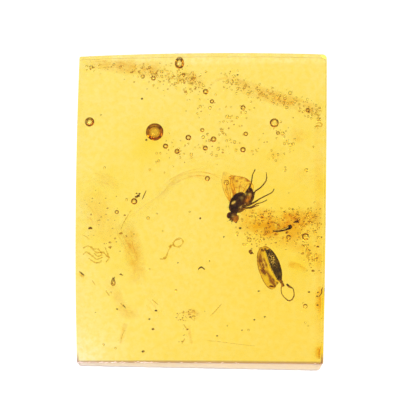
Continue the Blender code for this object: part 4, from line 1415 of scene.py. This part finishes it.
def head_parts(head, turn):
    """The head with its antennae and simple eyes, then the neck and the snout."""
    parts = [placed(ring_skin(head), HEAD_PLACE, turn)]
    parts += [placed(part, HEAD_PLACE, turn) for side in (-1, 1) for part in feeler_parts(side)]
    for spot in SIMPLE_EYES:
        parts.append(placed(ring_skin(ball_grid(6, 10) * 0.035), turn @ np.array(spot) + HEAD_PLACE))
    neck = smooth_route(((-0.15, -0.70, 0.02), (-0.26, -1.10, 0.04)), 8)
    snout = smooth_route(((-0.22, -1.35, 0.0), (-0.10, -1.50, -0.06), (-0.02, -1.58, -0.10)), 16)
    swell = radii_along(16, (0.13, 0.08, 0.09, 0.05), (0, 0.5, 0.8, 1))
    return parts + [bar_skin(neck, np.full(8, 0.19), 14), bar_skin(snout, swell, 12)]


def build_fly(settings):
    """The fly in place of its solid: shell, eyes, legs with bristles, wing veins and wing films."""
    body_turn = turn_matrix(FLY_HEADING, FLY_ROLL)
    head_turn = turn_matrix(HEAD_HEADING, HEAD_ROLL)
    abdomen_turn = turn_matrix(ABDOMEN_HEADING, FLY_ROLL)
    thorax = thorax_grid()
    abdomen = abdomen_grid()
    head = ball_grid(30, 40)
    head = head * (1 + 0.03 * ripple(head[..., 1] * 2, head[..., 2] * 2, 0.9, 33))[..., None] * HEAD_RADII
    scutellum = ring_skin(ball_grid(18, 26) * SCUTELLUM_RADII)
    body = [
        placed(ring_skin(thorax), (0, 0, 0), body_turn),
        placed(scutellum, body_turn @ np.array(SCUTELLUM_PLACE), body_turn),
        placed(ring_skin(abdomen), ABDOMEN_PLACE, abdomen_turn),
        *head_parts(head, head_turn),
    ]
    eyes = []
    # Only the first eye gets the painted glow of light shining through it; the other stays dark.
    for side, back_glow in ((1, 1.0), (-1, 0.0)):
        spot = head_turn @ (EYE_PLACE * np.array((1, side, 1))) + HEAD_PLACE
        eyes.append(stained(placed(ring_skin(eye_grid()), spot, head_turn), (0, back_glow, 0)))
    legs = [
        surface_bristles(thorax, body_turn, (0, 0, 0), (3, 34), 90, (0.10, 0.24), 51),
        surface_bristles(abdomen, abdomen_turn, ABDOMEN_PLACE, (20, 64), 80, (0.05, 0.12), 52),
        surface_bristles(head, head_turn, HEAD_PLACE, (4, 26), 26, (0.06, 0.14), 53),
    ]
    for number, (route, radii) in enumerate(LIMBS):
        line, leg = limb_part(route, radii)
        legs += [leg, limb_spines(line, radii, 60 + number)]
    wings = (NEAR_WING, FAR_WING)
    leg_brown = bark_material("leg_brown", settings.leg_dark, settings.leg_light, 5000.0, 0.6)
    for name, parts, material in (
        ("fly_body", [with_spots(part) for part in body], cuticle_material(settings)),
        ("fly_eyes", eyes, eye_material(settings)),
        ("fly_legs", legs, leg_brown),
        ("fly_wing_veins", [vein for wing in wings for vein in wing_veins(wing)], vein_material(settings)),
        ("fly_wing_films", [wing_film(wing) for wing in wings], wing_material(settings)),
    ):
        parts = [placed(part, FLY_CENTRE) for part in parts]
        make_piece(name, parts, material, replaces=("fly",) if name == "fly_body" else ())


# The husk and the splinter.

def husk_points(along, across):
    """Place on the husk and half its thickness there: an ellipse along X, dipped in a groove along its
    middle, whose far end bends to one side as a cube."""
    wide = np.sqrt(np.clip(1 - along**2, 0, 1))
    groove = np.exp(-((across / HUSK_GROOVE_WIDTH) ** 2)) * HUSK_GROOVE_DEPTH
    height = wide * (HUSK_HALF_DEPTH * np.sqrt(np.clip(1 - across**2, 0, 1)) - groove)
    bend = -HUSK_TIP_OFFSET * np.clip(along, 0, 1) ** 3
    blunt = HUSK_BLUNT_END * np.clip((along - 0.6) / 0.4, 0, 1) ** 2
    return np.stack([(along - blunt) * HUSK_HALF_LENGTH, across * wide * HUSK_HALF_WIDTH + bend], -1), height


def husk_share(along, across):
    """Share across of a place on the husk, from its share along and its place across in millimetres."""
    wide = HUSK_HALF_WIDTH * np.sqrt(np.clip(1 - along**2, 0.01, 1))
    return (across + HUSK_TIP_OFFSET * np.clip(along, 0, 1) ** 3) / wide


def valve_seam(along):
    """Share across at which the thick valve begins: level near the tip, climbing evenly past the middle and
    steeply at the stub."""
    level = husk_share(along, SEAM_LEVEL + SEAM_CLIMB * np.clip(along, 0, 1))
    return level + 3.0 * np.clip(along - 0.60, 0, 1)


def valve_part(along, start, end, ribs, seed):
    """One valve: the husk's skin between two shares across for each share along, ribbed along its length and
    thinned to its edges by the root of a sine. Gives its rings and each point's shares along and across."""
    part = (0.5 - 0.5 * np.cos(np.linspace(0, math.pi, 34)))[None, :]
    across = start[:, None] + (end - start)[:, None] * part
    along = np.broadcast_to(along[:, None], across.shape)
    flat, height = husk_points(along, across)
    thin = 0.93 * np.sqrt(np.clip(np.sin(math.pi * part), 0, 1)) + 0.05
    rib = ribs * np.cos(26 * across + 1.5 * np.sin(3 * along))
    rib = rib + 0.8 * ribs * ripple(along * 3, across * 3, 0.5, seed)
    height = 0.93 * height
    upper = np.concatenate([flat, (height * (thin + rib * thin))[..., None]], -1)
    lower = np.concatenate([flat, (height * (0.3 * rib - 0.8) * thin)[..., None]], -1)
    rings = np.concatenate([upper, lower[:, -2:0:-1]], 1)
    places = np.stack([along, across], -1)
    return rings, np.concatenate([places, places[:, -2:0:-1]], 1)


def bell(places, centre, radii):
    """A bell shape over places, with a half size in each direction."""
    return np.exp(-(((places - np.array(centre)) / np.array(radii)) ** 2).sum(-1))


def dark_valve_parts():
    """The thick valve, marked where its grains glint, and the knots at the husk's two ends."""
    first, last = DARK_VALVE_ENDS
    along = (first + last) / 2 - (last - first) / 2 * np.cos(np.linspace(0.01, 0.99, 70) * math.pi)
    rings, places = valve_part(along, valve_seam(along), np.full(70, 0.99), 0.10, 71)
    flat, _ = husk_points(places[..., 0], places[..., 1])
    glints = np.clip(1.6 * bell(flat, (-0.62, 0.42), (0.42, 0.18)), 0, 1)
    parts = [ring_skin(rings, mark_stack(glints))]
    for number, (x, y, length, width) in enumerate(HUSK_KNOTS):
        sizes = (length, width / CRUMB_SHAPE[1], KNOT_THICKNESS)
        knot = repeated(crumb_part(80 + number), np.zeros((1, 3)), [sizes])
        parts.append(placed(stained(knot, (0, 0.9, 0)), (x, y, 0.12)))
    return parts


def pale_valve_parts():
    """The thin valve, marked with its blotches, its yellow stripe and its pink streak, and its two rims."""
    along = -np.cos(np.linspace(0.02, 0.97, 110) * math.pi)
    bare = np.clip((DARK_VALVE_ENDS[0] + 0.04 - along) / 0.05, 0, 1)
    end = np.minimum(valve_seam(along) - 0.02, 0.96) * (1 - bare) + 0.96 * bare
    end = np.minimum(end, np.interp(along, VALVE_END_PLACES, VALVE_ENDS))
    rings, places = valve_part(along, np.full(110, -0.97), end, 0.06, 72)
    along, across = np.moveaxis(places, -1, 0)
    flat, _ = husk_points(along, across)
    rust = sum(blotch[4] * bell(flat, blotch[:2], blotch[2:4]) for blotch in HUSK_BLOTCHES)
    seam = (valve_seam(along) - across) * HUSK_HALF_WIDTH
    stripe = np.exp(-(((seam - 0.16) / 0.10) ** 4)) * (along < 0.62) * (along > -0.78)
    stripe = np.clip(stripe + bell(flat, (0.80, -0.54), (0.34, 0.16)), 0, 1)
    streak = sum(bell(flat, middle, (0.20, 0.035)) for middle in HUSK_STREAK)
    seam_line = 0.7 * np.exp(-(((seam - 0.03) / 0.035) ** 2))
    marks = mark_stack(np.clip(rust + seam_line, 0, 1), stripe, np.clip(streak, 0, 1))
    parts = [ring_skin(rings, marks)]
    for across, far_end in ((-0.97, 0.99), (0.97, 0.72)):
        margin = np.linspace(-0.995, far_end, 120)
        flat, height = husk_points(margin, np.full(120, across))
        line = np.concatenate([flat, (0.6 * height)[:, None]], 1)
        radii = HUSK_RIM * (1 + 0.35 * ripple(margin * 4, across, 0.5, 73))
        parts.append(stained(bar_skin(line, radii, 6), (0.55, 0, 0)))
    return parts


def stalk_parts():
    """The stub and the looped hair, each as a bar whose radius wavers as a sine."""
    stub = radii_along(24, STUB_RADII) * (1 + 0.1 * np.sin(np.arange(24)))
    hair = radii_along(120, HAIR_RADII) * (1 + 0.12 * np.sin(np.arange(120) * 0.9))
    stub = bar_skin(smooth_route(STUB_ROUTE, 24), stub, 14)
    return [stub, bar_skin(smooth_route(HAIR_ROUTE, 120), hair, 8)]


def build_husk(settings):
    """The husk in place of its solid: thick valve with knots, stub with hair, and thin valve with rims."""
    turn = turn_matrix(HUSK_HEADING)
    stalk = bark_material("husk_stalk", settings.stalk_dark, settings.stalk_light, 2600.0, 0.5)
    dark = [placed(part, HUSK_CENTRE, turn) for part in dark_valve_parts()]
    make_piece("husk_dark_valve", dark, husk_material(settings), replaces=("plant_husk",))
    stalks = [placed(part, HUSK_CENTRE) for part in stalk_parts()]
    make_piece("husk_stub_and_hair", stalks, stalk)
    pale = [placed(part, HUSK_CENTRE, turn) for part in pale_valve_parts()]
    make_piece("husk_pale_valve", pale, pale_valve_material(settings))


def splinter_part():
    """A bar of changing radius, ridged by cosines round it and marked along its pale side."""
    count, sides = 60, 20
    line = smooth_route(SPLINTER_ROUTE, count)
    turn = (np.arange(sides) * math.tau / sides)[None, :]
    step = np.arange(count)[:, None]
    ridges = 1 + 0.10 * np.cos(6 * turn) + 0.06 * np.sin(5 * turn + 0.35 * step)
    radii = radii_along(count, SPLINTER_RADII)[:, None]
    points, faces, _ = bar_skin(line, radii * ridges * 0.93, sides)
    x, y, _ = points.T
    start, end = PALE_BARK_ENDS
    pale = np.clip((y - np.interp(x, line[:, 0], line[:, 1]) - 0.01) / 0.03, 0, 1)
    return points, faces, mark_stack(pale * (x > start) * (x < end))


def build_splinter(settings):
    """The splinter in place of its solid."""
    material, tree, shader = new_material("splinter_bark", Roughness=0.5, IOR=SEALED_IOR)
    grain = mottled(tree, 4000.0, 5.0, 0.35, 0.65)
    bark = blend_colour(tree, grain, settings.bark_dark, settings.bark_light)
    colour = blend_colour(tree, read_marks(tree)["Red"], bark, settings.bark_pale)
    tree.links.new(colour, shader.inputs["Base Color"])
    roughen(tree, shader, 9000.0, 0.6, 0.00002)
    make_piece("splinter", [splinter_part()], material, replaces=("dark_splinter",))


# The stage.

def aim(thing, target, azimuth, elevation, distance):
    """Places a lamp or camera at a distance from a target, looking at it. Azimuth 0 looks along +Y."""
    around = math.radians(azimuth)
    up = math.radians(elevation)
    back = np.array((math.sin(around) * math.cos(up), -math.cos(around) * math.cos(up), math.sin(up)))
    thing.location = np.array(target) + back * distance
    thing.rotation_euler = (math.pi / 2 - up, 0.0, around)


def build_floor(settings):
    """The square opal floor, which gives light of its own."""
    material, _, _ = new_material(
        "opal_floor", Base_Color=(0.05, 0.05, 0.05, 1.0), Roughness=0.8,
        Emission_Color=(1.0, 1.0, 1.0, 1.0), Emission_Strength=settings.floor_glow,
    )
    half = settings.floor_size / 2
    mesh = bpy.data.meshes.new("floor")
    height = -settings.floor_gap
    corners = [(-half, -half, height), (half, -half, height), (half, half, height), (-half, half, height)]
    mesh.from_pydata(corners, [], [(0, 1, 2, 3)])
    mesh.materials.append(material)
    floor = bpy.data.objects.new("floor", mesh)
    bpy.context.scene.collection.objects.link(floor)


def build_stage(settings):
    """The floor, the room's even light, the two softboxes and the camera."""
    scene = bpy.context.scene
    scene.view_settings.view_transform = "Standard"
    build_floor(settings)
    world = bpy.data.worlds.new("soft_room")
    world.use_nodes = True
    room = world.node_tree.nodes["Background"].inputs
    room["Color"].default_value = (1.0, 1.0, 1.0, 1.0)
    room["Strength"].default_value = settings.room_light
    scene.world = world
    for name, azimuth, elevation, share in SOFTBOXES:
        lamp = bpy.data.lights.new(name, "AREA")
        lamp.shape = "SQUARE"
        lamp.size = SOFTBOX_SIZE
        lamp.energy = settings.lamp_power * share
        light = bpy.data.objects.new(name, lamp)
        scene.collection.objects.link(light)
        aim(light, SOFTBOX_TARGET, azimuth, elevation, SOFTBOX_DISTANCE)
    camera = bpy.data.objects.new("camera", bpy.data.cameras.new("camera"))
    camera.data.sensor_width = SENSOR_WIDTH
    camera.data.lens = settings.lens
    camera.data.clip_start = NEAREST_VIEW
    scene.collection.objects.link(camera)
    elevation = math.degrees(settings.camera_elevation)
    aim(camera, settings.camera_target, 0.0, elevation, settings.camera_distance)
    scene.camera = camera


# Settings.

def colour_setting(label, told, default):
    """An RGB colour."""
    return bpy.props.FloatVectorProperty(
        name=label, description=told, subtype="COLOR", size=3, min=0.0, max=1.0, default=default,
    )


def share_setting(label, told, default):
    """A number from 0 to 1."""
    return bpy.props.FloatProperty(
        name=label, description=told, subtype="FACTOR", min=0.0, max=1.0, default=default,
    )


def length_setting(label, told, default):
    """A length in metres."""
    return bpy.props.FloatProperty(
        name=label, description=told, unit="LENGTH", min=0.0, precision=6, default=default,
    )


def strength_setting(label, told, default):
    """A number from 0 up."""
    return bpy.props.FloatProperty(
        name=label, description=told, subtype="UNSIGNED", min=0.0, default=default,
    )


class AmberSettings(bpy.types.PropertyGroup):
    """Colours and finish of the resin"""

    absorption_colour: colour_setting("Absorption colour", "What the resin lets through", (0.98, 0.865, 0.25))
    absorption_density: strength_setting("Absorption density", "Absorption per metre", 460.0)
    honey_tint: colour_setting("Honey tint", "Tint of the deeper places", (0.95, 0.79, 0.10))
    # Painted shade: the brown of the dark ring about each bubble.
    bubble_rim_tint: colour_setting("Bubble rim tint", "Tint of the skin about a bubble", (0.53, 0.32, 0.06))
    # Painted shade: the tint of the dark line along the front rim.
    rim_shade_tint: colour_setting("Rim tint", "Tint of the dull front rim", (0.34, 0.20, 0.40))
    ground_tint: colour_setting("Ground tint", "Tint of what the ground face reflects", (1.0, 0.85, 0.90))
    ground_sheen: share_setting("Ground sheen", "How pale and matt the ground face looks", 0.7)
    fleck_strength: share_setting("Fleck strength", "How much the faint flecks show", 0.44)
    face_roughness: share_setting("Face roughness", "Roughness of the polished faces", 0.02)
    side_roughness: share_setting("Side roughness", "Roughness of the ground sides", 0.55)
    orange_peel: length_setting("Orange peel", "Height of the polished face's waves", 0.00001)
    loose_bubbles: bpy.props.IntProperty(
        name="Loose bubbles", description="Small bubbles strewn outside the bands", subtype="UNSIGNED",
        min=0, default=45,
    )
    small_bubble: length_setting("Small bubble", "Usual radius of the small bubbles", 0.000085)
    small_squash: share_setting("Small squash", "Height of the small bubbles over their width", 0.55)


class DebrisSettings(bpy.types.PropertyGroup):
    """What drifts in the resin"""

    veil_tint: colour_setting("Veil tint", "Tint of the old flow bands", (0.87, 0.63, 0.26))
    haze_tint: colour_setting("Haze tint", "Tint of the yellow hazes", (0.90, 0.62, 0.02))
    grain_tint: colour_setting("Grain tint", "Tint of the finest specks", (0.56, 0.37, 0.10))
    fibre_tint: colour_setting("Fibre tint", "Tint of the fine fibres", (0.86, 0.74, 0.42))
    dust_dark: colour_setting("Dark dust", "Darker brown of the specks", (0.09, 0.045, 0.006))
    dust_light: colour_setting("Light dust", "Lighter brown of the specks", (0.36, 0.20, 0.03))
    speck_width: length_setting("Speck width", "Usual width of the strewn specks", 0.00012)


class FlySettings(bpy.types.PropertyGroup):
    """Colours of the fly"""

    shell_dark: colour_setting("Dark shell", "Darkest brown of the body", (0.012, 0.004, 0.002))
    shell_light: colour_setting("Brown shell", "Lighter brown of the body", (0.060, 0.024, 0.012))
    # Partly the thin shell's orange brown, partly a painted glow of light shining through it.
    shell_amber_glow: colour_setting("Warm shell", "Clear orange brown parts", (0.44, 0.21, 0.04))
    shell_purple: colour_setting("Purple shell", "Purple sheen of the back", (0.06, 0.025, 0.05))
    # Painted highlights: this pale colour stands in for the shine of the shell.
    shell_highlight: colour_setting("Highlighted shell", "Pale shining patches", (1.0, 0.90, 0.72))
    eye_dark: colour_setting("Dark eye", "Darkest colour of the eyes", (0.05, 0.012, 0.008))
    eye_red: colour_setting("Red eye", "Red brown of the eyes", (0.18, 0.04, 0.02))
    leg_dark: colour_setting("Dark leg", "Darkest brown of the legs", (0.09, 0.050, 0.004))
    leg_light: colour_setting("Light leg", "Lighter brown of the legs", (0.26, 0.15, 0.015))
    vein_dark: colour_setting("Dark vein", "Darker tint of the veins", (0.74, 0.48, 0.13))
    vein_light: colour_setting("Light vein", "Lighter tint of the veins", (0.90, 0.70, 0.30))
    membrane_tint: colour_setting("Membrane", "Tint of the wing membrane", (0.97, 0.81, 0.42))
    membrane_dark: colour_setting("Dark membrane", "Tint of its blotches", (0.50, 0.22, 0.07))


class HuskSettings(bpy.types.PropertyGroup):
    """Colours of the husk"""

    olive_dark: colour_setting("Dark olive", "Darkest colour of the thick valve", (0.035, 0.026, 0.006))
    olive_light: colour_setting("Light olive", "Lighter colour of the thick valve", (0.125, 0.090, 0.012))
    glint: colour_setting("Glints", "Sparkling grains on the thick valve", (1.0, 0.88, 0.85))
    valve_yellow: colour_setting("Valve yellow", "Tint of the thin valve", (0.88, 0.70, 0.17))
    valve_ochre: colour_setting("Valve ochre", "Darker tint of the thin valve", (0.66, 0.46, 0.08))
    valve_rust: colour_setting("Valve rust", "Tint of its blotches", (0.23, 0.080, 0.012))
    stripe_yellow: colour_setting("Stripe yellow", "Tint of the stripe by the seam", (0.90, 0.78, 0.15))
    streak_pink: colour_setting("Streak pink", "Tint of the pink streak", (1.0, 0.86, 0.75))
    stalk_dark: colour_setting("Dark stalk", "Darker brown of the stub and hair", (0.14, 0.07, 0.012))
    stalk_light: colour_setting("Light stalk", "Lighter brown of the stub and hair", (0.40, 0.22, 0.04))


class SplinterSettings(bpy.types.PropertyGroup):
    """Colours of the splinter"""

    bark_dark: colour_setting("Dark bark", "Darkest brown of the splinter", (0.015, 0.007, 0.004))
    bark_light: colour_setting("Light bark", "Lighter brown of the splinter", (0.09, 0.04, 0.015))
    bark_pale: colour_setting("Pale bark", "The pale side of the splinter", (1.0, 0.92, 0.75))


class StageSettings(bpy.types.PropertyGroup):
    """Floor, light and camera"""

    floor_size: length_setting("Floor size", "Side of the floor", 3.0)
    floor_gap: length_setting("Floor gap", "Air under the slab", 0.00003)
    floor_glow: strength_setting("Floor glow", "Strength of the floor's own light", 1.08)
    room_light: strength_setting("Room light", "Strength of the light from all round", 0.33)
    lamp_power: bpy.props.FloatProperty(
        name="Lamp power", description="Power of the main softbox", unit="POWER", min=0.0, default=0.9,
    )
    lens: bpy.props.FloatProperty(
        name="Lens", description="Focal length", unit="CAMERA", min=1.0, default=200.25,
    )
    camera_distance: length_setting("Camera distance", "From the target to the camera", 0.178)
    camera_elevation: bpy.props.FloatProperty(
        name="Camera elevation", description="Above the horizon", subtype="ANGLE", default=math.radians(80.5),
    )
    camera_target: bpy.props.FloatVectorProperty(
        name="Camera target", description="What the camera looks at", default=(-0.00018, 0.00087, 0.0016),
        subtype="XYZ", unit="LENGTH", precision=6,
    )


class SpecimenSettings(bpy.types.PropertyGroup):
    """All settings of the specimen"""

    amber: bpy.props.PointerProperty(type=AmberSettings)
    debris: bpy.props.PointerProperty(type=DebrisSettings)
    fly: bpy.props.PointerProperty(type=FlySettings)
    husk: bpy.props.PointerProperty(type=HuskSettings)
    splinter: bpy.props.PointerProperty(type=SplinterSettings)
    stage: bpy.props.PointerProperty(type=StageSettings)


class SPECIMEN_OT_stage(bpy.types.Operator):
    """Build the floor, the lights and the camera"""

    bl_idname = "specimen.stage"
    bl_label = "Stage"

    def execute(self, context):
        build_stage(context.scene.specimen.stage)
        return {"FINISHED"}


class SPECIMEN_OT_amber(bpy.types.Operator):
    """Build the clear resin with its bubbles and their stained skins"""

    bl_idname = "specimen.amber"
    bl_label = "Amber"

    def execute(self, context):
        build_amber(context.scene.specimen.amber)
        return {"FINISHED"}


class SPECIMEN_OT_debris(bpy.types.Operator):
    """Build the flow bands, wisps, threads, specks, grains and fibres in the resin"""

    bl_idname = "specimen.debris"
    bl_label = "Flow bands and dust"

    def execute(self, context):
        build_veils(context.scene.specimen.debris)
        build_debris(context.scene.specimen.debris)
        return {"FINISHED"}


class SPECIMEN_OT_fly(bpy.types.Operator):
    """Build the fly"""

    bl_idname = "specimen.fly"
    bl_label = "Fly"

    def execute(self, context):
        build_fly(context.scene.specimen.fly)
        return {"FINISHED"}


class SPECIMEN_OT_husk(bpy.types.Operator):
    """Build the plant husk with its stub and hair"""

    bl_idname = "specimen.husk"
    bl_label = "Plant husk"

    def execute(self, context):
        build_husk(context.scene.specimen.husk)
        return {"FINISHED"}


class SPECIMEN_OT_splinter(bpy.types.Operator):
    """Build the dark splinter"""

    bl_idname = "specimen.splinter"
    bl_label = "Dark splinter"

    def execute(self, context):
        build_splinter(context.scene.specimen.splinter)
        return {"FINISHED"}


OPERATORS = (
    SPECIMEN_OT_stage, SPECIMEN_OT_amber, SPECIMEN_OT_debris,
    SPECIMEN_OT_fly, SPECIMEN_OT_husk, SPECIMEN_OT_splinter,
)


class SPECIMEN_PT_panel(bpy.types.Panel):
    """Lists the pieces of the specimen"""

    bl_label = "Insect in amber"
    bl_space_type = "VIEW_3D"
    bl_region_type = "UI"
    bl_category = "Amber"

    def draw(self, context):
        for operator in OPERATORS:
            self.layout.operator(operator.bl_idname)


CLASSES = (
    AmberSettings, DebrisSettings, FlySettings, HuskSettings, SplinterSettings, StageSettings,
    SpecimenSettings, *OPERATORS, SPECIMEN_PT_panel,
)


def register():
    for kind in CLASSES:
        bpy.utils.register_class(kind)
    bpy.types.Scene.specimen = bpy.props.PointerProperty(type=SpecimenSettings)


def unregister():
    del bpy.types.Scene.specimen
    for kind in reversed(CLASSES):
        bpy.utils.unregister_class(kind)


def main():
    register()
    bpy.ops.specimen.stage()
    bpy.ops.specimen.amber()
    bpy.ops.specimen.debris()
    bpy.ops.specimen.fly()
    bpy.ops.specimen.husk()
    bpy.ops.specimen.splinter()


if __name__ == "__main__":
    main()
